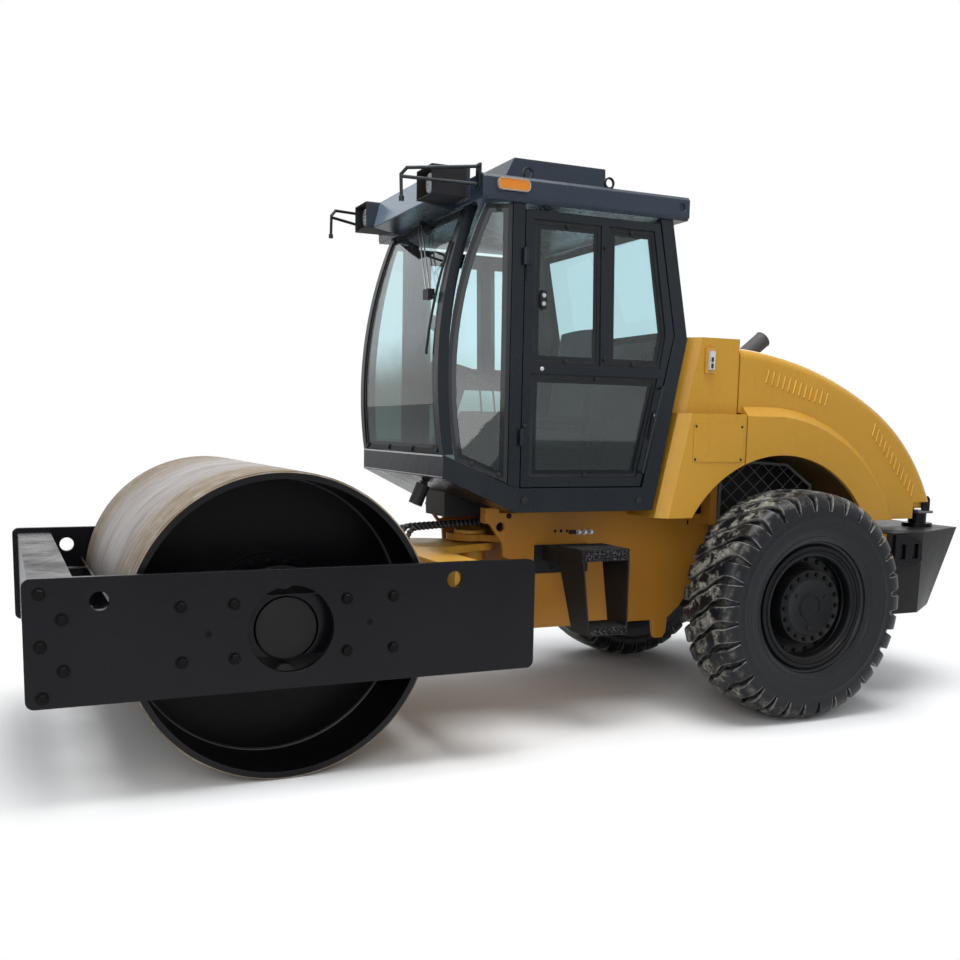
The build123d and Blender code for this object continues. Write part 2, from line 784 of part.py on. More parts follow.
# ---------------------------------------------------------------- cab: glass
screen = crescent(12, 12 + glass_t, -cab_y, cab_y)
screen_face = [
    (screen_low_y - post_t - seal, sill_front_z + seal),
    (screen_high_y - post_t - seal, cab_roof_z - seal),
    (-screen_high_y + post_t + seal, cab_roof_z - seal),
    (-screen_low_y + post_t + seal, sill_front_z + seal),
]
screen &= Pos(at(-1500), 0, 0) * extrude(Plane.YZ * make_face(Polyline(*screen_face, close=True)), 1000)


def pane_section(z, front, front_y):
    """One level of the slanted side pane, from the front post to the door post."""
    back_x, back_y = at(-1315) + seal, cab_y - 14
    outline = [(front, front_y), (back_x, back_y), (back_x, back_y - glass_t), (front, front_y - glass_t)]
    return Pos(0, 0, z) * make_face(Polyline(*outline, close=True))


pane_low = pane_section(sill_z - 10, cab_front_x, screen_low_y - 12)
pane_high = pane_section(cab_roof_z, cab_front_x, screen_high_y - 24)
corner_pane = loft([pane_low, pane_high], ruled=True)
pane_keep = side(
    [
        (cab_front_x, sill_front_z + seal),
        (cab_corner_x, sill_z + seal + 4),
        (cab_corner_x, cab_roof_z - seal),
        (cab_front_x, cab_roof_z - seal),
    ],
    0,
    cab_y,
)
pane_keep -= crescent(-200, post_t + seal, 0, cab_y)
corner_pane &= pane_keep

rear_low = side(
    [
        (at(-2291), sill_z + run_gap),
        (at(-2460), rear_knee_z),
        (at(-2440), rear_knee_z),
        (at(-2271), sill_z + run_gap),
    ],
    -(cab_y - cab_wall - run_gap),
    cab_y - cab_wall - run_gap,
)
save("cab_base", cab_base, rear_low)
rear_glass = side(
    [
        (at(-2458), rear_knee_z + seal),
        (at(-2332), cab_roof_z - seal),
        (at(-2324), cab_roof_z - seal),
        (at(-2450), rear_knee_z + seal),
    ],
    -(cab_y - cab_wall - seal),
    cab_y - cab_wall - seal,
)
save("cab_glass", screen, rear_glass, *both(corner_pane))

# ---------------------------------------------------------------- doors
door_gap = 7.0
door_t = 45.0
door_out_y = cab_y
door_in_y = door_out_y - door_t
hinge_x = at(-1385)
hinge_y = cab_y + 16
door_outline = [
    (at(-1385) - door_gap, sill_z + door_gap),
    (at(-1385) - door_gap, cab_roof_z - door_gap - 20),
    (at(-2250) + door_gap, cab_roof_z - door_gap - 20),
    (at(-2375) + door_gap + 1, 2287.0),
    (at(-2180) + door_gap, sill_z + door_gap),
]
door_blank = side(door_outline, door_in_y, door_out_y)
pane_corners = {
    "front": [(-1440, 2095), (-1440, 2862), (-1862, 2862), (-1880, 2095)],
    "rear": [(-1925, 2095), (-1907, 2862), (-2210, 2862), (-2312, 2287), (-2282, 2095)],
    "low": [(-1440, 1466), (-1440, 2040), (-2268, 2040), (-2145, 1466)],
}
door = door_blank
door_glass = []
for corners in pane_corners.values():
    spots = [(at(x), z) for x, z in corners]
    opening = side(spots, door_in_y - 1, door_out_y + 1)
    door -= opening
    face = offset(Polyline(*spots, close=True), -seal)
    door_glass.append(slab(face, door_out_y - 14 - glass_t, door_out_y - 14))
for z in (1690.0, 2660.0):
    door += bar("z", hinge_x, hinge_y, z, 14.0, 90.0)
    door += block(hinge_x - 40, hinge_x, door_out_y, hinge_y - 6, z - 40, z + 40)
handle_line = [(-2275, 795, 1985), (-2275, 845, 1985), (-2160, 845, 1500), (-2160, 795, 1500)]
handle = chain([(at(x), y, z) for x, y, z in handle_line], 9.0)
door += handle
save("door_left", door)
save("door_right", mirror(door, about=Plane.XZ))
save("door_glass_left", *door_glass)
save("door_glass_right", *[mirror(pane, about=Plane.XZ) for pane in door_glass])

# ---------------------------------------------------------------- seat and controls
seat_x = at(-1950)
floor_z = cab_low_z + cab_wall
seat_stand = block(seat_x - 210, seat_x + 190, -200, 200, floor_z + run_gap, floor_z + 300)
cushion = block(seat_x - 240, seat_x + 240, -240, 240, floor_z + 300 + run_gap, floor_z + 410)
back = side(
    [
        (seat_x - 235, floor_z + 410 + run_gap),
        (seat_x - 115, floor_z + 410 + run_gap),
        (seat_x - 230, floor_z + 1060),
        (seat_x - 330, floor_z + 1060),
    ],
    -230,
    230,
)
save("seat", seat_stand, chamfer(cushion.edges(), 25.0), chamfer(back.edges(), 20.0))
column = rod_between((at(-1150), 0, floor_z + 60), (at(-1377), 0, floor_z + 738), 45.0)
toe_slope = (cab_front_low_z - cab_low_z) / (cab_front_x - cab_corner_x)
toe_rise = toe_slope * (cab_front_x - cab_corner_x)
column -= side(
    [
        (cab_corner_x, floor_z + run_gap),
        (cab_front_x, floor_z + toe_rise + run_gap),
        (cab_front_x, floor_z - 200),
        (cab_corner_x, floor_z - 200),
    ],
    -100,
    100,
)
wheel_tilt = Pos(at(-1380), 0, floor_z + 740) * Rot(0, -18, 0)
wheel_rim = revolve(Plane.XZ * Pos(190, 0, 0) * RegularPolygon(15, 6), Axis.Z)
steering_wheel = wheel_tilt * (wheel_rim + Cylinder(45, 40) + Box(370, 30, 14) + Box(30, 370, 14))
save("steering_column", column + steering_wheel)

# ---------------------------------------------------------------- cowl behind the cab
cowl_y = 760.0
cowl_low_y = 830.0
cowl_high_z = 2295.0
cowl_low_z = 1225.0
seam_z = 1846.0
cowl_t = 20.0
cowl_chamfer = 60.0
hood_front_x = at(-2885)
fender_front_x = at(-2910)
cowl_foot_x = at(-2300)
cowl_head_x = at(-2540)
arch_r = tyre_r + 87
arch_z = tyre_r + 114
cowl_slope = (cowl_head_x - cowl_foot_x) / (cowl_high_z - cowl_low_z)


def cowl_front(z):
    return cowl_foot_x + cowl_slope * (z - cowl_low_z)


def cowl(half_y, z0, z1, back_x, roof_t):
    """A cowl section: front and side walls, with a roof where roof_t isn't zero."""
    shell = side([(cowl_front(z0), z0), (cowl_front(z1), z1), (back_x, z1), (back_x, z0)], -half_y, half_y)
    corners = shell.faces().sort_by(Axis.X)[-1].edges().sort_by(Axis.Y)
    shell = chamfer([corners[0], corners[-1]], cowl_chamfer)
    low, high = z0 - 1, z1 - roof_t + (0 if roof_t else 1)
    room = side(
        [
            (cowl_front(low) - cowl_t, low),
            (cowl_front(high) - cowl_t, high),
            (back_x - 1, high),
            (back_x - 1, low),
        ],
        -half_y + cowl_t,
        half_y - cowl_t,
    )
    corners = room.faces().sort_by(Axis.X)[-1].edges().sort_by(Axis.Y)
    return shell - chamfer([corners[0], corners[-1]], cowl_chamfer * 0.8)


save("cowl_upper", cowl(cowl_y, seam_z + run_gap, cowl_high_z, hood_front_x + clear, cowl_t))
cowl_lower = cowl(cowl_low_y, cowl_low_z, seam_z, fender_front_x + clear, 0)
cowl_lower -= bar("y", rear_x, 0, arch_z, arch_r, 4 * cowl_low_y)
cowl_lower -= block(at(-2600), at(-2200), -chassis_y - clear, chassis_y + clear, 1000, deck_z + run_gap)
shelf_front_x = cowl_front(seam_z) - cowl_chamfer
shelf_in_y = cowl_y - cowl_t - 10
shelf_out_y = cowl_low_y - cowl_t
for hand in (-1, 1):
    y0, y1 = sorted([hand * shelf_in_y, hand * shelf_out_y])
    cowl_lower += block(fender_front_x + clear, shelf_front_x, y0, y1, seam_z - cowl_t, seam_z)
save("cowl_lower", cowl_lower)

marker_x = at(-2656)
marker = block(marker_x - 35, marker_x + 35, cowl_y + run_gap, cowl_y + 14, 2085.0, 2235.0)
marker += block(marker_x - 18, marker_x + 18, cowl_y + 14, cowl_y + 34, 2105.0, 2215.0)
save("marker_lamps", *both(marker))
panel = block(at(-2880), at(-2514), cowl_low_y + run_gap, cowl_low_y + 4, 1559.0, 1786.0)
save("access_panels", *both(panel))

# ---------------------------------------------------------------- hood with its fenders
hood_y = 760.0
fender_y = 830.0
hood_low_z = 1180.0
hood_wall = 20.0
hood_round = 60.0
# the hood's back from front to tail: x from the drum's axle, z, and the way inwards
hood_back = [
    (-2885.0, 2247.0, 0.0, -1.0),
    (-3424.0, 2155.0, 0.28, -0.96),
    (-3951.0, 1936.0, 0.50, -0.87),
    (-4300.0, 1672.0, 0.72, -0.70),
    (-4555.0, 1285.0, 1.0, 0.0),
    (-4530.0, hood_low_z, 1.0, 0.0),
]


def hood_solid(inset, reach, half_y, round_off, corner):
    """The hood's outer form, drawn in by inset and longer at its open sides by reach."""
    spots = [(at(x) + dx * inset, z + dz * inset) for x, z, dx, dz in hood_back]
    front_x = spots[0][0] + reach
    low_z = hood_low_z - reach
    wire = Wire(
        [
            Line((front_x, low_z), (front_x, spots[0][1])),
            *([Line((front_x, spots[0][1]), spots[0])] if reach else []),
            ThreePointArc(spots[0], spots[1], spots[2]),
            ThreePointArc(spots[2], spots[3], spots[4]),
            Line(spots[4], (spots[5][0], low_z)),
            Line((spots[5][0], low_z), (front_x, low_z)),
        ]
    )
    body = slab(wire, -half_y, half_y)
    arcs = body.edges().filter_by(GeomType.CIRCLE)
    return round_off([e for e in arcs if abs(abs(e.center().Y) - half_y) < 1], corner)


fender_top = [(at(-3173), 1894.0), (at(-3790), 1672.0), (at(-4185), hood_low_z)]
shoulder = 58.0
liner_y = 450.0
liner_front_x = at(-3080)


def fender(inset, y0, y1):
    """The band around the wheel arch, drawn in by inset."""
    front, middle, rear = fender_top
    x0 = fender_front_x + inset
    lean = 0.7 * inset
    spots = [
        (front[0], front[1] - inset),
        (middle[0] + lean, middle[1] - lean),
        (rear[0] + inset, rear[1]),
    ]
    low_z = hood_low_z - (1 if inset else 0)
    wire = Wire(
        [
            Line((x0, low_z), (x0, spots[0][1])),
            Line((x0, spots[0][1]), spots[0]),
            ThreePointArc(*spots),
            Line(spots[2], (spots[2][0], low_z)) if inset else Line(spots[2], (x0, low_z)),
            *([Line((spots[2][0], low_z), (x0, low_z))] if inset else []),
        ]
    )
    return slab(wire, y0, y1)


outer = hood_solid(0, 0, hood_y, fillet, hood_round)
inner = hood_solid(hood_wall, 60, hood_y - hood_wall, chamfer, hood_round - hood_wall)
for hand in (-1, 1):
    band = fender(0, *sorted([hand * (hood_y - 30), hand * fender_y]))
    crest = [e for e in band.edges() if abs(e.center().Y - hand * fender_y) < 1]
    crest = [e for e in crest if e.center().Z > hood_low_z + 200 and e.center().X < fender_front_x - 1]
    outer += chamfer(crest, shoulder)
    inner += fender(hood_wall + shoulder, *sorted([hand * (hood_y - 60), hand * (fender_y - hood_wall)]))
liner = bar("y", rear_x, 0, arch_z, arch_r + hood_wall, 2 * (fender_y - hood_wall / 2))
liner &= block(at(-4500), liner_front_x, -fender_y, fender_y, hood_low_z, 1700.0)
liner -= block(-overall, overall, -liner_y, liner_y, 0, overall)
hood = outer - inner + liner
hood -= bar("y", rear_x, 0, arch_z, arch_r, 4 * fender_y)
hood -= block(fender_front_x, hood_front_x + 1, -fender_y, fender_y, hood_low_z, seam_z + clear)

# rows of pressed louvres: x and z of the first one's middle and of the last one's
louvre_rows = [((-3105.0, 2079.0), (-3580.0, 1950.0)), ((-3996.0, 1767.0), (-4370.0, 1365.0))]
louvre_gaps = 11  # spaces between a row's louvres
louvre_tall = 85.0
louvre_lean = 14.0
wedge_face = make_face(Polyline((-13, -4), (13, -4), (13, 9), close=True))
wedge = Pos(0, 0, -louvre_tall / 2) * extrude(wedge_face, louvre_tall)
ribs = []
for (x0, z0), (x1, z1) in louvre_rows:
    for n in range(round(louvre_gaps) + 1):
        share = n / round(louvre_gaps)
        spot = Pos(at(x0 + share * (x1 - x0)), hood_y, z0 + share * (z1 - z0))
        ribs.append(spot * Rot(0, -louvre_lean, 0) * wedge)
hood = hood.fuse(*both(*ribs))

# ---------------------------------------------------------------- hood hinges over the counterweight
hinge_pin_x = at(-4650)
hinge_pin_z = 1260.0
hinge_pin_y = 550.0
hinge_pin_r = 14.0
arm_half_y = 50.0
arm_low_z = 1235.0
arm_high_z = 1285.0
post_top_z = 1215.0
for hand in (-1, 1):
    y0, y1 = sorted([hand * (hinge_pin_y - 85), hand * (hood_y + 1)])
    hood -= block(at(-4700), at(-4380), y0, y1, hood_low_z - 1, arm_high_z + 5)
arm_y0, arm_y1 = hinge_pin_y - arm_half_y, hinge_pin_y + arm_half_y
arm = block(hinge_pin_x - 28, at(-4495), arm_y0, arm_y1, arm_low_z, arm_high_z)
web = block(at(-4535), at(-4495), arm_y0, arm_y1, arm_low_z, 1400.0)
arm += web & hood_solid(5, 0, hood_y, fillet, hood_round)
arm -= bar("y", hinge_pin_x, hinge_pin_y, hinge_pin_z, hinge_pin_r + shaft_gap, 4 * arm_half_y)
post_foot_z = frame_rear_z + run_gap
head_y0, head_y1 = hinge_pin_y - 75, hinge_pin_y + 75
post = block(hinge_pin_x - 66, hinge_pin_x + 66, head_y0, head_y1, post_top_z - 15, post_top_z)
post_mid_z = (post_foot_z + post_top_z) / 2
post += bar("z", hinge_pin_x, hinge_pin_y, post_mid_z, 60.0, post_top_z - post_foot_z - 10)
post += bar("z", hinge_pin_x, hinge_pin_y, post_foot_z + 12.5, 100.0, 25.0)
for y in (head_y0, head_y1 - 16):
    post += block(hinge_pin_x - 30, hinge_pin_x + 30, y, y + 16, post_top_z - 5, 1290.0)
post += bar("y", hinge_pin_x, hinge_pin_y, hinge_pin_z, hinge_pin_r, 160.0)
save("hood_hinge_posts", *both(post))

exhaust_r = 58.0
exhaust_foot = (at(-3450), 0, 2080.0)
exhaust_bend = (at(-3480), 0, 2240.0)
exhaust_tip = (at(-3665), 0, 2385.0)
exhaust_line = [exhaust_foot, exhaust_bend, exhaust_tip]
exhaust = chain(exhaust_line, exhaust_r) - chain(exhaust_line, exhaust_r - 4)
hood_hole = chain([exhaust_foot, exhaust_bend], exhaust_r + run_gap)
save("exhaust_pipe", exhaust)
left_arm, right_arm = both(arm)
save("hood", hood + left_arm + right_arm - hood_hole)

# ---------------------------------------------------------------- mesh screens beside the engine
mesh_t = 4.0
mesh_pitch = 76.0
mesh_edge = [(-2915, 1130), (-2915, 1480), (-2985, 1540), (-3200, 1555)]
mesh_edge += [(-3450, 1540), (-3660, 1400), (-3660, 1130)]
mesh_spots = [(at(x), z) for x, z in mesh_edge]
mesh_area = Polyline(*mesh_spots, close=True)
frame_depth = 2 * mesh_t + 4
screen_frame = slab(mesh_area, mesh_y, mesh_y + frame_depth)
screen_frame -= slab(offset(mesh_area, -16), mesh_y - 1, mesh_y + frame_depth + 1)
wires = []
for layer, lean in enumerate((40, -40)):
    y = mesh_y + 1.5 + layer * (mesh_t + 0.8)
    turned_frame = Pos(at(-3250), y + mesh_t / 2, 1340) * Rot(0, lean, 0)
    for n in range(-6, 7):
        wires.append(turned_frame * Pos(0, 0, n * mesh_pitch) * Box(1400, mesh_t, mesh_t))
keep = slab(offset(mesh_area, -10), mesh_y - 1, mesh_y + frame_depth + 1)
screen_frame = screen_frame.fuse(*[wire & keep for wire in wires if (wire & keep).solids()])
for x in (-2940, -3560):
    screen_frame += block(at(x - 20), at(x + 20), chassis_y + run_gap, mesh_y + frame_depth, 1040.0, 1136.0)
save("engine_screens", *both(screen_frame))

# ---------------------------------------------------------------- hoses over the pivot
# y, height over the pivot and height at the front end
hose_lines = [(-45.0, 1142.0, 1120.0), (0.0, 1150.0, 1135.0), (48.0, 1142.0, 1128.0)]
hose_r = 15.0
hose_gap = 46.0  # room for the full steering angle over the pivot
front_hoses = []
rear_hoses = []
for y, z, front_z in hose_lines:
    foot = (at(-985), y * 2.2, rear_beam_high_z + run_gap)
    front_hoses.append(chain([foot, (at(-985), y * 2.2, front_z), (pivot_x + hose_gap / 2, y, z)], hose_r))
    under_deck = (at(-1720), y, deck_z - wall_t - run_gap)
    rear_hoses.append(chain([(pivot_x - hose_gap / 2, y, z), (at(-1720), y, z + 12), under_deck], hose_r))
save("hoses_front", *front_hoses)
save("hoses_rear", *rear_hoses)

# ---------------------------------------------------------------- under the cab
box_front_x = at(-1209)
box_top_z = cab_low_z + toe_slope * (box_front_x - cab_corner_x)
valve_box = side(
    [
        (box_front_x, 1200.0),
        (box_front_x, box_top_z - run_gap),
        (cab_corner_x, cab_low_z - run_gap),
        (at(-1545), cab_low_z - run_gap),
        (at(-1545), 1200.0),
    ],
    -150,
    150,
)
foot_tall = cab_low_z - deck_z - 2 * run_gap
cab_feet = [bar("z", at(x), 350.0, (deck_z + cab_low_z) / 2, 45.0, foot_tall) for x in (-1650, -2200)]
horn_room = [(-1200, 1300), (-1000, 1300), (-1000, cab_front_low_z - 12.5), (-1200, cab_low_z + 78.5)]
horn = rod_between((at(-1000), 200, 1285), (at(-1050), 200, 1400), 42.0)
bracket = block(at(-1075), at(-1035), 190, 210, 1380, 1425.0)
horn += bracket & side([(at(x), z) for x, z in horn_room], 0, 400)
save("cab_mounts", valve_box, horn, *both(*cab_feet))

# ---------------------------------------------------------------- lifting eyes on the roof
eye_y = 780.0
ring_r = 32.0
ring_bore_r = 22.0
ring_t = 12.0
ring = Rot(90, 0, 0) * (Cylinder(ring_r, ring_t) - Cylinder(ring_bore_r, ring_t + 1))
eye = Pos(0, 0, ring_r + 1) * ring + block(-20, 20, -14, 14, 0, ring_r - ring_bore_r)
lift_eyes = [Pos(at(x), eye_y, roof_high_z + run_gap) * eye for x in (-1405, -1910)]
save("lifting_eyes", *both(*lift_eyes))
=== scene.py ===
import math

import bmesh
import bpy
from mathutils import Matrix, Vector


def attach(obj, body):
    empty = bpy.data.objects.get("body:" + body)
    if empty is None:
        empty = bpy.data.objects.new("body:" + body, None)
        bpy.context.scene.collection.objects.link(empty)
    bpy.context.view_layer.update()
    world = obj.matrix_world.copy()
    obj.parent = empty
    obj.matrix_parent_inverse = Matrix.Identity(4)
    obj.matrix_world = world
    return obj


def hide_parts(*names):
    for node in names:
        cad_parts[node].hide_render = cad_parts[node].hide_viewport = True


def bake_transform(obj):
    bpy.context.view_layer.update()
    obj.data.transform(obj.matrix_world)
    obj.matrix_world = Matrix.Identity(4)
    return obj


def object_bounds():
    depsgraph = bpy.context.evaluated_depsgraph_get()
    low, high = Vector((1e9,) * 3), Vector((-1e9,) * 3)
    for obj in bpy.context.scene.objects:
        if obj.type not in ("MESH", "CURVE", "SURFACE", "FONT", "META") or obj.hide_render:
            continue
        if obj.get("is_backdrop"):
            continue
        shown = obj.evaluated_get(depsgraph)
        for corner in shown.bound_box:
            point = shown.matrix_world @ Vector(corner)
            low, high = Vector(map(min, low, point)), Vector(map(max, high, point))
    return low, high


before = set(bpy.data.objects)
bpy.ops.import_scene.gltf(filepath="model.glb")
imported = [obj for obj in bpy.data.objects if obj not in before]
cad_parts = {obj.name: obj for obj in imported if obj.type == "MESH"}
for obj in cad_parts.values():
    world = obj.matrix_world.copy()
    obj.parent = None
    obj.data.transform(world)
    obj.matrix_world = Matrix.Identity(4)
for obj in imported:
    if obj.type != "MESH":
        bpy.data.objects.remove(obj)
cad_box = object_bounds()
scene = bpy.context.scene
scene.view_settings.view_transform = "Standard"


# ------------------------------------------------------------------ yard, daylight and camera
# The machine stands on pale swept concrete under a bright overcast sky. Most light comes from
# above, with a softer share from the open side in front, and the camera is at eye height.
class Socket:
    """A value in a node tree. Sums, products and powers written on it add Math nodes."""

    def __init__(self, nodes, output):
        self.nodes = nodes
        self.output = output

    def maths(self, operation, *others):
        return self.nodes.add("ShaderNodeMath", {"operation": operation}, dict(enumerate([self, *others])))

    def __add__(self, other):
        return self.maths("ADD", other)

    def __sub__(self, other):
        return self.maths("SUBTRACT", other)

    def __rsub__(self, other):
        return self.maths("MULTIPLY_ADD", -1.0, other)

    def __mul__(self, other):
        return self.maths("MULTIPLY", other)

    def __pow__(self, other):
        return self.maths("POWER", other)

    def __abs__(self):
        return self.maths("ABSOLUTE")

    __radd__ = __add__
    __rmul__ = __mul__

    def over(self, low, high):
        """0 up to low, 1 from high on, and smooth between them."""
        ends = {"Value": self, "From Min": low, "From Max": high}
        return self.nodes.add("ShaderNodeMapRange", {"interpolation_type": "SMOOTHSTEP"}, ends)


class Nodes:
    """A node tree that is filled with one call a node."""

    def __init__(self, tree):
        self.tree = tree

    def add(self, kind, settings=None, sockets=None, output=0):
        made = self.tree.nodes.new(kind)
        for name, value in (settings or {}).items():
            setattr(made, name, value)
        self.feed(made, sockets or {})
        return Socket(self, [s for s in made.outputs if s.enabled][output])

    def feed(self, made, sockets):
        live = [s for s in made.inputs if s.enabled]
        for key, value in sockets.items():
            target = live[key] if isinstance(key, int) else next(s for s in live if s.name == key)
            for each in value if isinstance(value, list) else [value]:
                if isinstance(each, Socket):
                    self.tree.links.new(each.output, target)
                elif target.type == "RGBA":
                    target.default_value = (*each, 1)
                else:
                    target.default_value = each

    def mix(self, share, first, second):
        return self.add("ShaderNodeMix", {"data_type": "RGBA"}, {"Factor": share, "A": first, "B": second})


class Paint(Nodes):
    """A material on object coordinates."""

    def __init__(self, name):
        self.material = bpy.data.materials.new(name)
        self.material.use_nodes = True
        super().__init__(self.material.node_tree)
        self.shader = self.tree.nodes["Principled BSDF"]
        self.place = self.add("ShaderNodeTexCoord", output=3)
        split = self.add("ShaderNodeSeparateXYZ", {}, {0: self.place}).output.node
        self.x, self.y, self.z = [Socket(self, output) for output in split.outputs]

    def noise(self, scale, detail=3.0, rough=0.5, where=None, stretch=(1.0, 1.0, 1.0)):
        where = self.add("ShaderNodeMapping", {}, {"Vector": where or self.place, "Scale": stretch})
        sizes = {"Vector": where, "Scale": scale, "Detail": detail, "Roughness": rough}
        return self.add("ShaderNodeTexNoise", {}, sizes)

    def from_axle(self, x, z):
        """How far a place lies from an axle's line."""
        dx, dz = self.x - x, self.z - z
        return (dx * dx + dz * dz) ** 0.5

    def upward(self):
        """1 on faces that look up and 0 on the rest."""
        normal = self.add("ShaderNodeNewGeometry", output=1)
        height = self.add("ShaderNodeSeparateXYZ", {}, {0: normal}, 2)
        return height.over(0.45, 0.95)

    def relief(self, height, depth, edge=0.0):
        """A bumped normal. An edge above 0 also rounds the corners by that radius."""
        sockets = {"Height": height, "Distance": depth}
        if edge:
            sockets["Normal"] = self.add("ShaderNodeBevel", {"samples": 4}, {"Radius": edge})
        return self.add("ShaderNodeBump", {}, sockets)

    def surface(self, **sockets):
        """Sets the shader; a name's underscores stand for spaces."""
        self.feed(self.shader, {key.replace("_", " "): value for key, value in sockets.items()})
        return self.material


def concrete():
    paint = Paint("pale_concrete")
    grain = paint.noise(1.1, 4.0) * 0.6 + paint.noise(45.0, 3.0) * 0.4
    tone = paint.mix(grain, (0.80, 0.80, 0.80), (0.88, 0.88, 0.88))
    paint.surface(Base_Color=tone, Roughness=0.95, Specular_IOR_Level=0.0)
    far = paint.x * paint.x * 0.09 + paint.y * paint.y * 0.30
    haze = far.over(0.7, 1.6) * paint.add("ShaderNodeLightPath", output=0)
    bright = paint.add("ShaderNodeEmission", {}, {"Color": (1.0, 1.0, 1.0), "Strength": 1.0})
    swept_floor = Socket(paint, paint.shader.outputs[0])
    mixed = paint.add("ShaderNodeMixShader", {}, {0: haze, 1: swept_floor, 2: bright})
    paint.tree.links.new(mixed.output, paint.tree.nodes["Material Output"].inputs["Surface"])
    return paint.material


def mesh_object(name, vertices, faces, *materials):
    mesh = bpy.data.meshes.new(name)
    mesh.from_pydata([tuple(v) for v in vertices], [], faces)
    for material in materials:
        mesh.materials.append(material)
    made = bpy.data.objects.new(name, mesh)
    scene.collection.objects.link(made)
    return made


yard = 120.0
corners = [(-yard, -yard, 0), (yard, -yard, 0), (yard, yard, 0), (-yard, yard, 0)]
ground = mesh_object("ground", corners, [(0, 1, 2, 3)], concrete())
ground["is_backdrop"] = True

scene.world = bpy.data.worlds.new("overcast")
scene.world.use_nodes = True
sky = Nodes(scene.world.node_tree)
height = sky.add("ShaderNodeSeparateXYZ", {}, {0: sky.add("ShaderNodeTexCoord")}, 2)
cloud = sky.mix(height.over(-0.2, 0.9), (0.46, 0.47, 0.50), (0.92, 0.96, 1.0))
daylight = sky.add("ShaderNodeBackground", {}, {"Color": cloud, "Strength": 0.60})
plain = sky.add("ShaderNodeBackground", {}, {"Color": (1.0, 1.0, 1.0), "Strength": 1.0})
to_camera, glossy, through = [sky.add("ShaderNodeLightPath", output=n) for n in (0, 3, 6)]
seen = to_camera.maths("MAXIMUM", glossy.maths("MAXIMUM", through))
sky_out = sky.add("ShaderNodeMixShader", {}, {0: seen, 1: daylight, 2: plain})
sky.tree.links.new(sky_out.output, sky.tree.nodes["World Output"].inputs["Surface"])


def soft_box(name, place, size, watts):
    """A square lamp aimed at the middle of the machine."""
    data = bpy.data.lights.new(name, "AREA")
    data.size = size
    data.energy = watts
    lamp = bpy.data.objects.new(name, data)
    lamp.location = place
    lamp.rotation_euler = (Vector((0, 0, 1.2)) - Vector(place)).to_track_quat("-Z", "Y").to_euler()
    lamp.visible_camera = False
    lamp.visible_transmission = False
    scene.collection.objects.link(lamp)


soft_box("sky_opening", (0.5, 1.5, 10.0), 6.0, 1000)
soft_box("open_side", (6.0, 9.0, 5.0), 6.0, 330)
soft_box("far_side", (-7.0, -8.0, 6.0), 6.0, 300)

eye = (3.101, 6.0303, 1.7497)
yaw, pitch, roll = 0.4228, -0.1286, 0.0173
ahead = Vector((-math.sin(yaw) * math.cos(pitch), -math.cos(yaw) * math.cos(pitch), math.sin(pitch)))
sideways = ahead.cross(Vector((0, 0, 1))).normalized()
upright = sideways.cross(ahead)
turn = Matrix((sideways, upright, -ahead)).transposed() @ Matrix.Rotation(roll, 3, "Z")
view = bpy.data.cameras.new("eye_height")
view.lens = 39.59
view.shift_x = 0.00973
view.shift_y = 0.08577
view.clip_end = 400
scene.camera = bpy.data.objects.new("eye_height", view)
scene.camera.matrix_world = Matrix.Translation(eye) @ turn.to_4x4()
scene.collection.objects.link(scene.camera)


# ------------------------------------------------------------------ side plates of the drum frame
# Two flame-cut plates of thick steel, rounded at the corners and sprayed in gloss black. Hexagon
# bolts hold the crossbeams at their ends and the drum's carriers beside the round openings.
dust_grey, dust_dark = (0.36, 0.33, 0.28), (0.12, 0.11, 0.10)


def enamel(name, colour, shade, rough, dusty, edge=0.005, specular=0.3, darkening=None, dust=dust_grey):
    """Sprayed paint over steel: a faint orange peel, drifting tone, and dust where it can lie."""
    paint = Paint(name)
    drift = paint.noise(0.9, 4.0)
    smear = paint.noise(3.0, 5.0, 0.7, stretch=(1.0, 1.0, 0.25))
    tone = paint.mix(drift.over(0.3, 0.75), colour, shade)
    soil = (paint.upward() * 0.7 + 0.18) * smear.over(0.42, 0.80)
    specks = paint.noise(160.0, 2.0).over(0.68, 0.74) * smear.over(0.45, 0.7)
    tone = paint.mix(soil * dusty + specks * 0.25 * dusty, tone, dust)
    grain = rough + soil * 0.35 + (smear - 0.5) * 0.12
    # darkening, where given, turns the paint a near-black brown: painted shade with oily soil in the wheel
    # arches, and the black of the lamp funnels
    if darkening:
        darkened = darkening(paint)
        tone = paint.mix(darkened * (0.75 + smear * 0.25), tone, (0.005, 0.003, 0.002))
        grain += darkened * 0.45
    peel = paint.noise(130.0, 1.0) * 0.6 + paint.noise(14.0, 2.0) * 2.0
    relief = paint.relief(peel, 0.0006, edge)
    return paint.surface(Base_Color=tone, Roughness=grain, Specular_IOR_Level=specular, Normal=relief)


def dress(material, *names):
    """Gives nodes of the frame their finish."""
    for name in names:
        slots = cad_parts[name].material_slots
        if not slots:
            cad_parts[name].data.materials.append(material)
        for held in slots:
            held.material = material


black, worn_black = (0.0035, 0.0035, 0.0052), (0.006, 0.006, 0.0085)
black_enamel = enamel("black_enamel", black, worn_black, 0.22, 0.05, specular=0.16, dust=dust_dark)
dress(black_enamel, "side_plates")


def smooth(made, degrees):
    made.data.shade_smooth()
    made.data.set_sharp_from_angle(angle=math.radians(degrees))


def place_on(made, body, slot, *nodes, angle=35):
    """A finished piece: shaded, on its body, and in place of nodes of the frame; its slot is not used."""
    if angle:
        smooth(made, angle)
    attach(made, body)
    if nodes:
        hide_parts(*nodes)
    return made


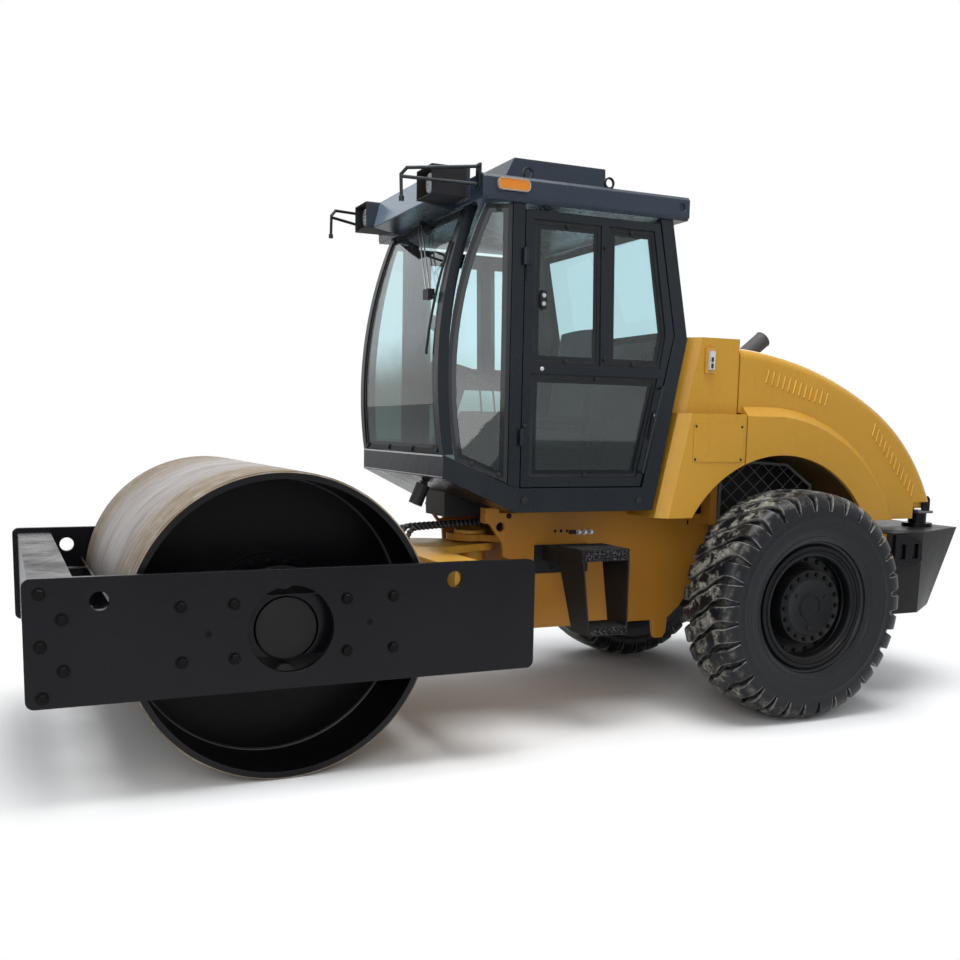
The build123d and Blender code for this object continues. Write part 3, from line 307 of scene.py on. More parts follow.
def hexagon_tree():
    """Puts a hexagon head with its washer on each point, along the point's own direction."""
    tree = bpy.data.node_groups.new("hexagon_heads", "GeometryNodeTree")
    tree.is_modifier = True
    inputs = {"Geometry": "Geometry", "Head Radius": "Float", "Head Height": "Float"}
    inputs |= {"Washer Radius": "Float", "Head Sides": "Int", "Finish": "Material"}
    for name, kind in inputs.items():
        tree.interface.new_socket(name, in_out="INPUT", socket_type="NodeSocket" + kind)
    tree.interface.new_socket("Geometry", in_out="OUTPUT", socket_type="NodeSocketGeometry")
    nodes = Nodes(tree)
    source = tree.nodes.new("NodeGroupInput")
    points, radius, tall, washer, sides, finish = [Socket(nodes, s) for s in source.outputs[: len(inputs)]]

    def prism(top, depth, lift):
        sizes = {"Vertices": sides, "Radius Top": top, "Radius Bottom": radius, "Depth": depth}
        made = nodes.add("GeometryNodeMeshCone", {}, sizes)
        lift = nodes.add("ShaderNodeCombineXYZ", {}, {"Z": lift})
        return nodes.add("GeometryNodeTransform", {}, {"Geometry": made, "Translation": lift})

    solids = [prism(radius, tall, tall * 0.25), prism(radius * 0.84, tall * 0.2, tall * 1.25)]
    ring = nodes.add("GeometryNodeMeshCylinder", {}, {"Vertices": 18, "Radius": washer, "Depth": tall * 0.5})
    head = nodes.add("GeometryNodeJoinGeometry", {}, {0: [*solids, ring]})
    facing = nodes.add("GeometryNodeInputNamedAttribute", {"data_type": "FLOAT_VECTOR"}, {"Name": "facing"})
    turned = nodes.add("FunctionNodeAlignRotationToVector", {"axis": "Z"}, {"Vector": facing})
    spun = nodes.add("FunctionNodeRandomValue", {"data_type": "FLOAT"}, {"Min": 0.0, "Max": 1.05, "Seed": 7})
    spun = nodes.add("ShaderNodeCombineXYZ", {}, {"Z": spun})
    turned = nodes.add("FunctionNodeRotateRotation", {"rotation_space": "LOCAL"}, {0: turned, 1: spun})
    laid = {"Points": points, "Instance": head, "Rotation": turned}
    laid = nodes.add("GeometryNodeInstanceOnPoints", {}, laid)
    laid = nodes.add("GeometryNodeRealizeInstances", {}, {"Geometry": laid})
    laid = nodes.add("GeometryNodeSetMaterial", {}, {"Geometry": laid, "Material": finish})
    tree.links.new(laid.output, tree.nodes.new("NodeGroupOutput").inputs[0])
    return tree


hexagons = hexagon_tree()


def bolts(name, spots, radius, body, slot, material, sides=6, tall=0.62, washer=1.28):
    """Bolt heads from a list of places with the way each one faces."""
    made = mesh_object(name, [place for place, way in spots], [])
    facing = made.data.attributes.new("facing", "FLOAT_VECTOR", "POINT")
    for item, (place, way) in zip(facing.data, spots):
        item.vector = way
    modifier = made.modifiers.new("grow", "NODES")
    modifier.node_group = hexagons
    values = {"Head Radius": radius, "Head Height": radius * tall, "Washer Radius": radius * washer}
    values |= {"Head Sides": sides, "Finish": material}
    for item in hexagons.interface.items_tree:
        if item.in_out == "INPUT" and item.name in values:
            modifier[item.identifier] = values[item.name]
    made.update_tag()
    grown = made.evaluated_get(bpy.context.evaluated_depsgraph_get())
    result = bpy.data.meshes.new_from_object(grown)
    made.modifiers.remove(modifier)
    made.data = result
    result.name = name
    place_on(made, body, slot)


def both_sides(spots):
    """The same places on the left and on the right, facing outwards or as given."""
    mirrored = [((x, -y, z), (a, -b, c)) for (x, y, z), (a, b, c) in spots]
    return [*spots, *mirrored]


drum_x, drum_z = 1.845, 0.7615
plate_y = 1.1755


def from_drum(line):
    """A side view's places of X and Z, which are given with X from the drum's axle."""
    return [(drum_x + x, z) for x, z in line]


def looking_out(line, y, side=1):
    """Places on an upright face at Y, given as for from_drum and facing away from the middle."""
    return [((x, side * y, z), (0, side, 0)) for x, z in from_drum(line)]


beam_bolts = [(1.110, 0.998), (1.020, 0.881), (1.111, 0.765), (1.019, 0.651), (1.109, 0.536)]
carrier_bolts = [(x, z) for x in (-0.513, -0.274, 0.271, 0.513) for z in (0.652, 0.910)]
bolt_black = enamel("bolt_black", (0.001, 0.001, 0.0013), (0.003, 0.003, 0.0035), 0.35, 0.02, 0.0, 0.10)
spots = both_sides(looking_out(beam_bolts + carrier_bolts, plate_y))
bolts("plate_bolts", spots, 0.023, "front_frame", "black_paint", bolt_black)
spots = both_sides(looking_out([(0.391, 0.774), (-0.393, 0.786)], plate_y - 0.005))
bolts("plate_plugs", spots, 0.015, "front_frame", "black_paint", bolt_black, 16, 0.4, 1.1)

# ------------------------------------------------------------------ crossbeams and articulation
# The front beam is a welded box in black. The rear one carries the tongue, whose two plates close
# round the articulation pin. Tongue, ears and pin are sprayed yellow with the rear frame.
clay = (0.50, 0.38, 0.20)
yellow, deep_yellow = (0.60, 0.32, 0.050), (0.54, 0.28, 0.040)
yellow_enamel = enamel("yellow_enamel", yellow, deep_yellow, 0.30, 0.15, specular=0.34, dust=clay)
dress(black_enamel, "front_crossbeam")
dress(yellow_enamel, "rear_crossbeam", "articulation_pin")


# ------------------------------------------------------------------ drum
# A rolled steel shell whose face is worn bare and dusty by the ground, with fine scoring round
# it. Its edges and the two welded end plates keep their black paint.
def rolling_steel():
    paint = Paint("rolling_steel")
    radius = paint.from_axle(drum_x, drum_z)
    angle = (paint.x - drum_x).maths("ARCTAN2", paint.z - drum_z)
    unrolled = paint.add("ShaderNodeCombineXYZ", {}, {"X": angle, "Y": paint.y, "Z": radius})
    scoring = paint.noise(1.0, 5.0, 0.7, unrolled, (2.2, 95.0, 1.0))
    bands = paint.noise(1.0, 3.0, 0.6, unrolled, (1.2, 7.0, 1.0))
    soil = paint.noise(1.0, 6.0, 0.75, unrolled, (9.0, 9.0, 1.0))
    near_rim = abs(paint.y).over(0.25, 0.95)
    steel = paint.mix(scoring.over(0.3, 0.7), (0.25, 0.23, 0.225), (0.42, 0.40, 0.39))
    brown = paint.mix(scoring.over(0.35, 0.6), (0.085, 0.062, 0.040), (0.27, 0.215, 0.150))
    stained = (near_rim + bands.over(0.45, 0.7) * 0.5).maths("MINIMUM", 1.0)
    face = paint.mix(stained * soil.over(0.20, 0.52), steel, brown)
    worn = radius.over(0.7500, 0.7535)
    tone = paint.mix(worn, (0.003, 0.003, 0.004), face)
    polish = 0.30 + worn * (0.16 + soil * 0.25)
    bare = worn * (0.55 - stained * 0.45)
    paint.surface(Base_Color=tone, Roughness=polish, Metallic=bare, Specular_IOR_Level=0.20)
    return paint.surface(Normal=paint.relief(scoring * 0.7 + soil * 0.5, 0.0012, 0.005))


dress(rolling_steel(), "drum_shell")
black, worn_black = (0.002, 0.002, 0.003), (0.004, 0.004, 0.005)
head_black = enamel("head_black", black, worn_black, 0.30, 0.03, specular=0.09, dust=dust_dark)
dress(head_black, "drum_heads")


def solid(name, shape, material):
    """The object of a built mesh, with its faces turned outwards."""
    bmesh.ops.recalc_face_normals(shape, faces=shape.faces)
    made = mesh_object(name, [], [], material)
    shape.to_mesh(made.data)
    shape.free()
    return made


def skinned(shape, rings):
    """Adds a row of faces between each ring of vertices and the next."""
    for here, there in zip(rings, rings[1:]):
        for m in range(len(here)):
            k = (m + 1) % len(here)
            shape.faces.new((here[m], here[k], there[k], there[m]))


def lathe(name, section, x, z, steps, material):
    """A closed section of radius and Y turned round an axle's line."""
    shape = bmesh.new()
    rings = []
    for n in range(steps):
        a = 2 * math.pi * n / steps
        rings.append([shape.verts.new((x + r * math.cos(a), y, z + r * math.sin(a))) for r, y in section])
    skinned(shape, rings + rings[:1])
    bmesh.ops.remove_doubles(shape, verts=shape.verts, dist=0.00002)
    return solid(name, shape, material)


# The weld beads are a paler black than the end plates: a painted highlight along the drum's edges.
weld_black_highlit = enamel("weld_black_highlit", (0.030, 0.030, 0.033), (0.045, 0.045, 0.048), 0.30, 0.04, 0.0)
bead = [(0.7195, 0.6795), (0.7080, 0.6795), (0.7095, 0.6860), (0.7140, 0.6905), (0.7195, 0.6920)]
left_and_right = (("left", 1), ("right", -1))
for name, side in left_and_right:
    weld = lathe(f"drum_weld_{name}", [(r, y * side) for r, y in bead], drum_x, drum_z, 120, weld_black_highlit)
    place_on(weld, "drum", "black_paint")


def ring_spots(x, y, z, radius, count, facing=1, start=0.0):
    """Places evenly round an axle's line, facing along it."""
    angles = [start + 2 * math.pi * n / count for n in range(count)]
    return [((x + radius * math.cos(a), y, z + radius * math.sin(a)), (0, facing, 0)) for a in angles]


spots = both_sides(ring_spots(drum_x, 0.7305, drum_z, 0.285, 20))
bolts("drum_hub_bolts", spots, 0.017, "drum", "black_paint", head_black)

# ------------------------------------------------------------------ carriers, bearings, scrapers
# Flanged bearing housings sit on rubber buffers in plate carriers inside the side plates. The
# scrapers are flat steel blades on brackets, set just off the drum.
cast_black = enamel("cast_black", (0.005, 0.005, 0.006), (0.011, 0.010, 0.010), 0.45, 0.08, specular=0.2)
dress(black_enamel, "drum_carriers", "scrapers")
dress(cast_black, "drum_bearings")


def moulded_rubber(name, colour, rough=0.72):
    paint = Paint(name)
    bloom = paint.noise(5.0, 5.0, 0.65)
    tone = paint.mix(bloom.over(0.35, 0.8), colour, tuple(c * 2.2 + 0.004 for c in colour))
    matt = rough + (bloom - 0.5) * 0.25
    relief = paint.relief(paint.noise(220.0, 2.0) + bloom, 0.0005)
    return paint.surface(Base_Color=tone, Roughness=matt, Specular_IOR_Level=0.3, Normal=relief)


plain_rubber = moulded_rubber("plain_rubber", (0.015, 0.015, 0.016))
dress(plain_rubber, "drum_rubber_mounts")
spots = both_sides(ring_spots(drum_x, 0.9655, drum_z, 0.27, 16, start=0.2))
bolts("bearing_bolts", spots, 0.014, "front_frame", "cast", cast_black)

# ------------------------------------------------------------------ rear tyres
# Wide traction tyres: a moulded carcass with a row of slanted bars on each half of the tread.
# Each bar runs over the shoulder and down the sidewall, where its rounded end shows.
axle_x, axle_z = -1.355, 0.700
tyre_r, tyre_mid, tyre_half = 0.700, 0.975, 0.225

# radius and how far out of the tyre's middle, from bead to shoulder
sidewall = [
    (0.318, 0.70), (0.345, 0.705), (0.368, 0.71), (0.380, 0.735), (0.384, 0.765), (0.398, 0.80),
    (0.402, 0.86), (0.412, 0.885), (0.430, 0.925), (0.434, 0.94), (0.438, 0.935), (0.452, 0.955),
    (0.480, 0.975), (0.520, 0.985), (0.536, 0.992), (0.540, 0.997), (0.544, 0.992), (0.566, 0.988),
]
lug_count = 32
lug_pitch = 2 * math.pi * tyre_r / lug_count
# radius, how far out, depth of the gap between two lugs, half its width, lead round the tyre
tread = [
    (0.582, 0.992, 0.000, 0.011, 0.000), (0.588, 0.995, 0.012, 0.012, 0.000),
    (0.606, 0.990, 0.018, 0.015, 0.000), (0.630, 0.970, 0.025, 0.019, 0.000),
    (0.652, 0.935, 0.031, 0.023, 0.000), (0.670, 0.880, 0.036, 0.027, 0.001),
    (0.683, 0.800, 0.038, 0.028, 0.003), (0.6910, 0.660, 0.038, 0.025, 0.008),
    (0.6955, 0.490, 0.038, 0.020, 0.026), (0.6980, 0.300, 0.038, 0.018, 0.060),
    (0.6985, 0.120, 0.036, 0.017, 0.092), (0.6990, 0.000, 0.034, 0.016, 0.1031),
]


def mark(made, name, values):
    """Stores a number at each vertex for the material to read."""
    made.data.attributes.new(name, "FLOAT", "POINT").data.foreach_set("value", values)


def lugged_tyre(name, side, material):
    """A tyre as one skin: rows from bead to bead, and in each row eight points for every lug."""
    near = [(r, out, 0.0, tread[0][3], 0.0) for r, out in sidewall] + tread
    turned = 2 * tread[-1][4]
    rows = near + [(r, -out, deep, gap, turned - lead) for r, out, deep, gap, lead in reversed(near[:-1])]
    shape = bmesh.new()
    rings, edges = [], []
    for r, out, deep, gap, lead in rows:
        inward = Vector((0.57 - r, -0.4 * out * tyre_half)).normalized() * deep
        half = lug_pitch / 2 - gap
        # along the tread from the lug's middle, in the gap or not, on a pale edge or not (a painted highlight
        # with dry mud)
        columns = [(-half, 0, 1), (-half + 0.008, 0, 0), (-half / 3, 0, 0), (half / 3, 0, 0)]
        columns += [(half - 0.008, 0, 0), (half, 0, 1)]
        columns += [(half + 0.007, 1, 0), (lug_pitch - half - 0.007, 1, 0)]
        ring = []
        for n in range(lug_count):
            for along, sunk, worn in columns:
                turn = 2 * math.pi * n / lug_count + (along + lead) / tyre_r
                radius = r + inward.x * sunk
                y = tyre_mid + out * tyre_half + inward.y * sunk
                place = (axle_x + radius * math.sin(turn), y * side, axle_z + radius * math.cos(turn))
                ring.append(shape.verts.new(place))
                edges.append(float(worn) if deep else 0.0)
        rings.append(ring)
    skinned(shape, rings + rings[:1])
    made = solid(name, shape, material)
    mark(made, "edge_glint_and_mud", edges)
    return made


def tyre_rubber():
    """Black rubber. Soil clings to the tread, and the bars' edges are pale: a painted highlight with dry mud
    on them.
    """
    paint = Paint("tyre_rubber")
    radius = paint.from_axle(axle_x, axle_z)
    inward = abs(abs(paint.y) - tyre_mid)
    cake = paint.noise(9.0, 6.0, 0.75)
    grain = paint.noise(60.0, 4.0, 0.7)
    tread = radius.over(0.680, 0.694) * (1 - inward.over(0.150, 0.205))
    groove = radius.over(0.615, 0.65) * (1 - radius.over(0.668, 0.680))
    black = paint.mix(grain.over(0.3, 0.8), (0.0035, 0.004, 0.006), (0.008, 0.009, 0.012))
    worn = paint.add("ShaderNodeAttribute", {"attribute_name": "edge_glint_and_mud"}, output=2)
    # The pale on the bars' edges is a painted highlight, with dry mud.
    black = paint.mix(worn.over(0.3, 0.9) * cake.over(0.36, 0.56), black, (0.21, 0.21, 0.20))
    soil = paint.mix(grain.over(0.3, 0.7), (0.10, 0.094, 0.078), (0.33, 0.32, 0.275))
    caked = (tread * cake.over(0.475, 0.575)).maths("MAXIMUM", groove * cake.over(0.45, 0.65) * 0.45)
    dusty = cake.over(0.5, 0.85) * 0.03
    tone = paint.mix(caked * 0.85 + dusty, black, soil)
    rings = (radius * 700.0).maths("SINE") * (radius.over(0.41, 0.43) - radius.over(0.47, 0.49))
    matt = 0.33 + caked * 0.45 + (cake - 0.5) * 0.25
    relief = paint.relief(grain * 0.8 + cake * caked * 3.0 + rings * 0.25, 0.0016, 0.004)
    return paint.surface(Base_Color=tone, Roughness=matt, Specular_IOR_Level=0.25, Normal=relief)


tyre_finish = tyre_rubber()
for name, side in left_and_right:
    tyre = lugged_tyre(f"rear_tyre_{name}", side, tyre_finish)
    place_on(tyre, f"wheel_{name}", "tyre", f"tyre_{name}", angle=32)

# ------------------------------------------------------------------ wheel rims and hubs
# Deep pressed rims with a loose lock ring, black inside and out. The planetary hub fills the
# middle: its cover is a turned disc with a ring of cap bolts and three plugs.
rim_black = enamel("rim_black", (0.003, 0.0035, 0.004), (0.006, 0.0065, 0.008), 0.30, 0.05, 0.002, 0.14)
rim_section = [
    (0.3176, 0.8095), (0.3176, 1.1405), (0.366, 1.1405), (0.3715, 1.146), (0.3715, 1.152), (0.366, 1.1565),
    (0.352, 1.1565), (0.349, 1.150), (0.344, 1.150), (0.340, 1.1565), (0.330, 1.1565), (0.326, 1.149),
    (0.318, 1.148), (0.310, 1.142), (0.306, 1.130), (0.306, 1.085), (0.300, 1.078), (0.300, 1.050),
    (0.262, 1.046), (0.236, 1.030), (0.227, 1.030), (0.227, 1.120), (0.222, 1.132), (0.212, 1.136),
    (0.176, 1.136), (0.172, 1.1395), (0.166, 1.1395), (0.160, 1.136), (0.080, 1.134), (0.078, 1.1385),
    (0.072, 1.1385), (0.070, 1.134), (0.0, 1.134), (0.0, 1.02), (0.30, 1.02), (0.30, 0.794),
    (0.3715, 0.794), (0.3715, 0.8095),
]
for name, side in left_and_right:
    wheel = f"wheel_{name}"
    rim = lathe(f"rear_rim_{name}", [(r, y * side) for r, y in rim_section], axle_x, axle_z, 96, rim_black)
    place_on(rim, wheel, "black_paint", f"rim_{name}", angle=40)
    spots = ring_spots(axle_x, 1.134 * side, axle_z, 0.198, 18, side)
    bolts(f"hub_bolts_{name}", spots, 0.0125, wheel, "black_paint", bolt_black, tall=0.8)
    spots = ring_spots(axle_x, 1.050 * side, axle_z, 0.281, 20, side, 0.1)
    bolts(f"rim_nuts_{name}", spots, 0.0125, wheel, "black_paint", rim_black, tall=0.8)
    spots = ring_spots(axle_x, 1.133 * side, axle_z, 0.125, 3, side, 0.6)
    bolts(f"hub_plugs_{name}", spots, 0.014, wheel, "black_paint", rim_black, 12, 0.3, 1.3)

# ------------------------------------------------------------------ rear axle and engine
# A cast axle housing with brakes at its ends, and behind the arches the engine block between the
# rails. Both are dark, oily and dusty.
dress(cast_black, "rear_axle", "engine_block")

# ------------------------------------------------------------------ rear chassis
# Two flame-cut rails joined by cross plates, a welded belly and a deck that carries the cab. All
# of it is sprayed yellow after welding.
# The chassis yellow is a darker, more orange copy of the hood's yellow: painted shade.
shaded_ochre, deep_shaded_ochre, damp_clay = (0.37, 0.165, 0.022), (0.32, 0.135, 0.018), (0.42, 0.30, 0.15)
chassis_enamel = enamel("chassis_enamel", shaded_ochre, deep_shaded_ochre, 0.32, 0.10, specular=0.2, dust=damp_clay)
dress(chassis_enamel, "chassis_rails", "chassis_plates")
rail_y = 0.4702
spots = both_sides(looking_out([(-1.488, 1.227)], rail_y))
bolts("rail_bolts", spots, 0.013, "rear_frame", "black_paint", black_enamel)


def bare_metal(name, colour, rough):
    paint = Paint(name)
    film = paint.noise(7.0, 4.0, 0.6)
    tone = paint.mix(film.over(0.35, 0.75), colour, tuple(c * 0.72 for c in colour))
    relief = paint.relief(paint.noise(70.0, 3.0, 0.6), 0.0002)
    return paint.surface(Base_Color=tone, Roughness=rough + film * 0.18, Metallic=1.0, Normal=relief)


zinc = bare_metal("zinc_plate", (0.56, 0.56, 0.58), 0.28)
spots = looking_out([(x, 1.120) for x in (-1.958, -2.000, -2.042)], rail_y)
bolts("test_ports", spots, 0.012, "rear_frame", "chrome", zinc, 16, 1.3, 1.3)
spots = looking_out([(x, 1.130) for x in (-1.799, -1.840, -1.881)], rail_y - 0.002)
bolts("port_plugs", spots, 0.009, "rear_frame", "black_paint", black_enamel, 16, 0.35, 1.2)


def slab(shape, low, high):
    """Adds a box between two corners to a mesh and gives its vertices."""
    corners = [(x, y, z) for x in (low[0], high[0]) for y in (low[1], high[1]) for z in (low[2], high[2])]
    made = [shape.verts.new(corner) for corner in corners]
    for face in ((0, 1, 3, 2), (4, 6, 7, 5), (0, 4, 5, 1), (2, 3, 7, 6), (0, 2, 6, 4), (1, 5, 7, 3)):
        shape.faces.new([made[n] for n in face])
    return made


def boxes(*corners):
    """A mesh of boxes, each given by two corners."""
    shape = bmesh.new()
    for low, high in corners:
        slab(shape, low, high)
    return shape


def piece(name, shape, body, slot, material, *nodes, angle=35, bevel=0.0, rounds=1):
    """Turns a built mesh into a finished piece, with its edges broken where bevel is given."""
    if bevel:
        bmesh.ops.recalc_face_normals(shape, faces=shape.faces)
        edges = [e for e in shape.edges if e.is_manifold and e.calc_face_angle() > 0.6]
        bmesh.ops.bevel(shape, geom=edges, offset=bevel, segments=rounds, affect="EDGES", clamp_overlap=True)
    return place_on(solid(name, shape, material), body, slot, *nodes, angle=angle)


def extruded(shape, outline, y0, y1):
    """Adds a side view outline of X and Z to a mesh, as thick as from y0 to y1."""
    near = [shape.verts.new((x, y0, z)) for x, z in outline]
    far = [shape.verts.new((x, y1, z)) for x, z in outline]
    shape.faces.new(near)
    shape.faces.new(far[::-1])
    for n in range(len(outline)):
        k = (n + 1) % len(outline)
        shape.faces.new((near[k], near[n], far[n], far[k]))


shape = bmesh.new()
foot = [(-2.52, 0.548), (-2.635, 0.548), (-2.625, 0.455), (-2.60, 0.425), (-2.545, 0.425), (-2.53, 0.45)]
for side in (1, -1):
    extruded(shape, from_drum(foot), side * 0.435, side * 0.469)
piece("rail_feet", shape, "rear_frame", "yellow_paint", chassis_enamel, bevel=0.004)
shape = boxes(
    ((drum_x - 1.945, rail_y - 0.004, 1.110), (drum_x - 1.893, rail_y + 0.004, 1.134)),
    ((drum_x - 2.765, rail_y - 0.004, 1.148), (drum_x - 2.751, rail_y + 0.001, 1.181)),
)
piece("port_block", shape, "rear_frame", "black_paint", black_enamel, bevel=0.003)

# ------------------------------------------------------------------ steering cylinders
# Two double-acting cylinders steer the joint. Their barrels are sprayed black, and their rods
# are ground and chromed.
chrome = bare_metal("hard_chrome", (0.74, 0.74, 0.76), 0.07)
dress(black_enamel, "steer_barrel_left", "steer_barrel_right")
dress(chrome, "steer_rod_left", "steer_rod_right")


# ------------------------------------------------------------------ hoses over the joint
# High-pressure hoses in spiral plastic guards cross from the rear frame to the drum frame. They arch over the
# pin.
def smooth_line(points, spacing):
    """Points along a smooth curve near the given ones, evenly enough spaced for a hose."""
    curve = bpy.data.curves.new("line", "CURVE")
    curve.dimensions = "3D"
    curve.resolution_u = 24
    spline = curve.splines.new("NURBS")
    spline.points.add(len(points) - 1)
    for held, point in zip(spline.points, points):
        held.co = (*point, 1)
    spline.order_u = 3
    spline.use_endpoint_u = True
    holder = bpy.data.objects.new("line", curve)
    mesh = bpy.data.meshes.new_from_object(holder)
    line = [v.co.copy() for v in mesh.vertices]
    bpy.data.objects.remove(holder)
    bpy.data.meshes.remove(mesh)
    path, left = [line[0]], spacing
    for a, b in zip(line, line[1:]):
        long = (b - a).length
        while long >= left:
            a = a + (b - a) * (left / long)
            long = (b - a).length
            left = spacing
            path.append(a)
        left -= long
    return path


def swept(shape, path, radius_at, sides):
    """Adds a round bar along a path to a mesh; radius_at(step, turn) gives its radius."""
    side = Vector((0, 1, 0))
    if abs((path[1] - path[0]).normalized().y) > 0.9:
        side = Vector((1, 0, 0))
    rings = []
    for n, point in enumerate(path):
        along = (path[min(n + 1, len(path) - 1)] - path[max(n - 1, 0)]).normalized()
        side = (side - along * side.dot(along)).normalized()
        top = along.cross(side)
        ring = []
        for m in range(sides):
            a = 2 * math.pi * m / sides
            ring.append(shape.verts.new(point + (side * math.cos(a) + top * math.sin(a)) * radius_at(n, a)))
        rings.append(ring)
    skinned(shape, rings)
    shape.faces.new(rings[0][::-1])
    shape.faces.new(rings[-1])
    return [radius_at(n, 2 * math.pi * m / sides) for n in range(len(path)) for m in range(sides)]


def guarded_hose():
    """Black rubber with a spiral guard standing proud of it, pale with scuffs and a painted highlight."""
    paint = Paint("guarded_hose")
    proud = paint.add("ShaderNodeAttribute", {"attribute_name": "reach"}, output=2)
    scuff = paint.noise(80.0, 3.0)
    # The guard's pale is partly scuffing and partly a painted highlight along the spiral.
    guard = proud.over(0.0150, 0.0172) * (0.5 + scuff * 0.5)
    tone = paint.mix(guard, (0.008, 0.008, 0.009), (0.11, 0.11, 0.115))
    relief = paint.relief(scuff, 0.0004)
    return paint.surface(Base_Color=tone, Roughness=0.5, Specular_IOR_Level=0.35, Normal=relief)


pivot_x = 0.395
hose_r, guard_high, turn_a_step = 0.0135, 0.0042, 1.05


def spiral(n, a):
    """A hose's radius with its guard, at a step along it and a turn round it."""
    return hose_r + guard_high * max(0.0, math.sin(n * turn_a_step - a)) ** 0.5


shape = bmesh.new()
reach = []
# across, height over the pin and height in front of it
for y, high, front in ((-0.045, 1.142, 1.120), (0.0, 1.150, 1.135), (0.048, 1.142, 1.128)):
    line = [(0.125, y, 1.218), (0.125, y, high + 0.012), (pivot_x - 0.12, y, high + 0.008)]
    line += [(pivot_x + 0.12, y * 1.1, high), (0.72, y * 1.7, (high + front) / 2)]
    line += [(0.860, y * 2.2, front), (0.860, y * 2.2, 1.0305)]
    reach += swept(shape, smooth_line(line, 0.005), spiral, 12)
hoses = solid("joint_hoses", shape, guarded_hose())
mark(hoses, "reach", reach)
smooth(hoses, 60)
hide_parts("hoses_front", "hoses_rear")
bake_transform(hoses)

# ------------------------------------------------------------------ counterweight
# A hollow welded box filled with ballast, in dark grey with a rough sprayed skin. Black two-slot
# plates for tying down are welded to its sides.
weight_grey = enamel("weight_grey", (0.024, 0.024, 0.024), (0.034, 0.033, 0.031), 0.32, 0.04, 0.008, 0.03)
dress(weight_grey, "counterweight")
dress(black_enamel, "tie_down_lugs")

# ------------------------------------------------------------------ steps
# Folded plate steps hang below each door. Their treads are faced with speckled grit sheet, and
# the bracket plate is bolted to the rail.
dress(cast_black, "steps")


def grit_sheet():
    paint = Paint("grit_sheet")
    grit = paint.noise(110.0, 2.0, 0.8)
    worn = paint.noise(6.0, 4.0, 0.6)
    tone = paint.mix(grit.over(0.54, 0.64) * (0.4 + worn * 0.8), (0.004, 0.004, 0.005), (0.13, 0.13, 0.13))
    relief = paint.relief(grit, 0.002)
    return paint.surface(Base_Color=tone, Roughness=0.85, Specular_IOR_Level=0.15, Normal=relief)


shape = bmesh.new()
for side in (1, -1):
    # top, thickness, front and inner edge of a tread
    for top, thick, front, inner in ((1.068, 0.064, -1.710, 0.647), (0.625, 0.050, -1.768, 0.757)):
        x0, x1 = drum_x - 2.025 + 0.004, drum_x + front - 0.004
        slab(shape, (x0, side * (inner + 0.004), top - 0.001), (x1, side * 0.944, top + 0.0025))
        slab(shape, (x0, side * 0.949, top - thick + 0.005), (x1, side * 0.952, top - 0.003))
piece("step_grit", shape, "rear_frame", "black_paint", grit_sheet())
spots = both_sides(looking_out([(-1.675, 1.025), (-1.784, 0.905), (-1.99, 0.905)], 0.4825))
bolts("step_bolts", spots, 0.013, "rear_frame", "black_paint", cast_black)

# ------------------------------------------------------------------ cab: base, posts and roof
# A welded frame of rolled section in dark satin blue-black, with a pressed roof. The roof carries
# the visor, the lamp funnels, the air unit's cover and four lifting rings.
cab_enamel = enamel("cab_enamel", (0.005, 0.008, 0.012), (0.009, 0.013, 0.018), 0.28, 0.04, 0.006, 0.24)
dress(cab_enamel, "cab_base", "cab_posts", "lifting_eyes", "mirror_arms")


def lamp_funnels(paint):
    """1 in the lamp funnels beside the visor, which are a plain black."""
    return paint.x.over(drum_x - 1.105, drum_x - 1.095) * abs(paint.y).over(0.428, 0.434)


# The roof's paint is a paler, bluer copy of the cab's: a painted sheen, the sky's reflection on the roof.
sheen_blue_black, sheen_blue_grey = (0.014, 0.023, 0.037), (0.021, 0.032, 0.050)
roof_enamel = enamel("roof_enamel", sheen_blue_black, sheen_blue_grey, 0.26, 0.04, 0.012, 0.30, lamp_funnels)
dress(roof_enamel, "roof")
fascia_grey = enamel("fascia_grey", (0.125, 0.17, 0.235), (0.155, 0.21, 0.28), 0.20, 0.05, 0.0, 0.6)
shape = bmesh.new()
line = [(-0.9495, 2.968), (-0.9485, 2.970), (-0.9880, 3.117), (-0.9895, 3.117), (-0.9905, 3.115)]
extruded(shape, from_drum([*line, (-0.9515, 2.968)]), -0.427, 0.427)
piece("visor_fascia", shape, "rear_frame", "cab_paint", fascia_grey)


def lens(name, colour, glow, ribs):
    """A moulded lamp glass with fine ribs inside."""
    paint = Paint(name)
    prism = (paint.x * ribs).maths("SINE") * (paint.z * ribs).maths("SINE")
    tone = paint.mix(prism * 0.5 + 0.5, colour, tuple(min(1.0, c * 1.25 + 0.03) for c in colour))
    relief = paint.relief(prism, 0.0006)
    gloss = {"Roughness": 0.12 + prism * 0.05, "Specular_IOR_Level": 0.25}
    return paint.surface(Base_Color=tone, Emission_Color=tone, Emission_Strength=glow, Normal=relief, **gloss)


dress(lens("amber_lens", (0.48, 0.145, 0.003), 0.03, 420.0), "side_lamps")
dress(lens("clear_lens", (0.20, 0.21, 0.22), 0.0, 300.0), "work_lamps")


def drawn_in(outline, width):
    """A closed outline drawn in by a width, with its corners mitred."""
    following = outline[1:] + outline[:1]
    hand = 1 if sum(a[0] * b[1] - b[0] * a[1] for a, b in zip(outline, following)) > 0 else -1
    made = []
    for n, (u, v) in enumerate(outline):
        before, after = Vector(outline[n - 1]), Vector(following[n])
        here = Vector((u, v))
        one, two = (here - before).normalized(), (after - here).normalized()
        one, two = Vector((-one.y, one.x)) * hand, Vector((-two.y, two.x)) * hand
        here += (one + two) / (1 + one.dot(two)) * width
        made.append((here.x, here.y))
    return made


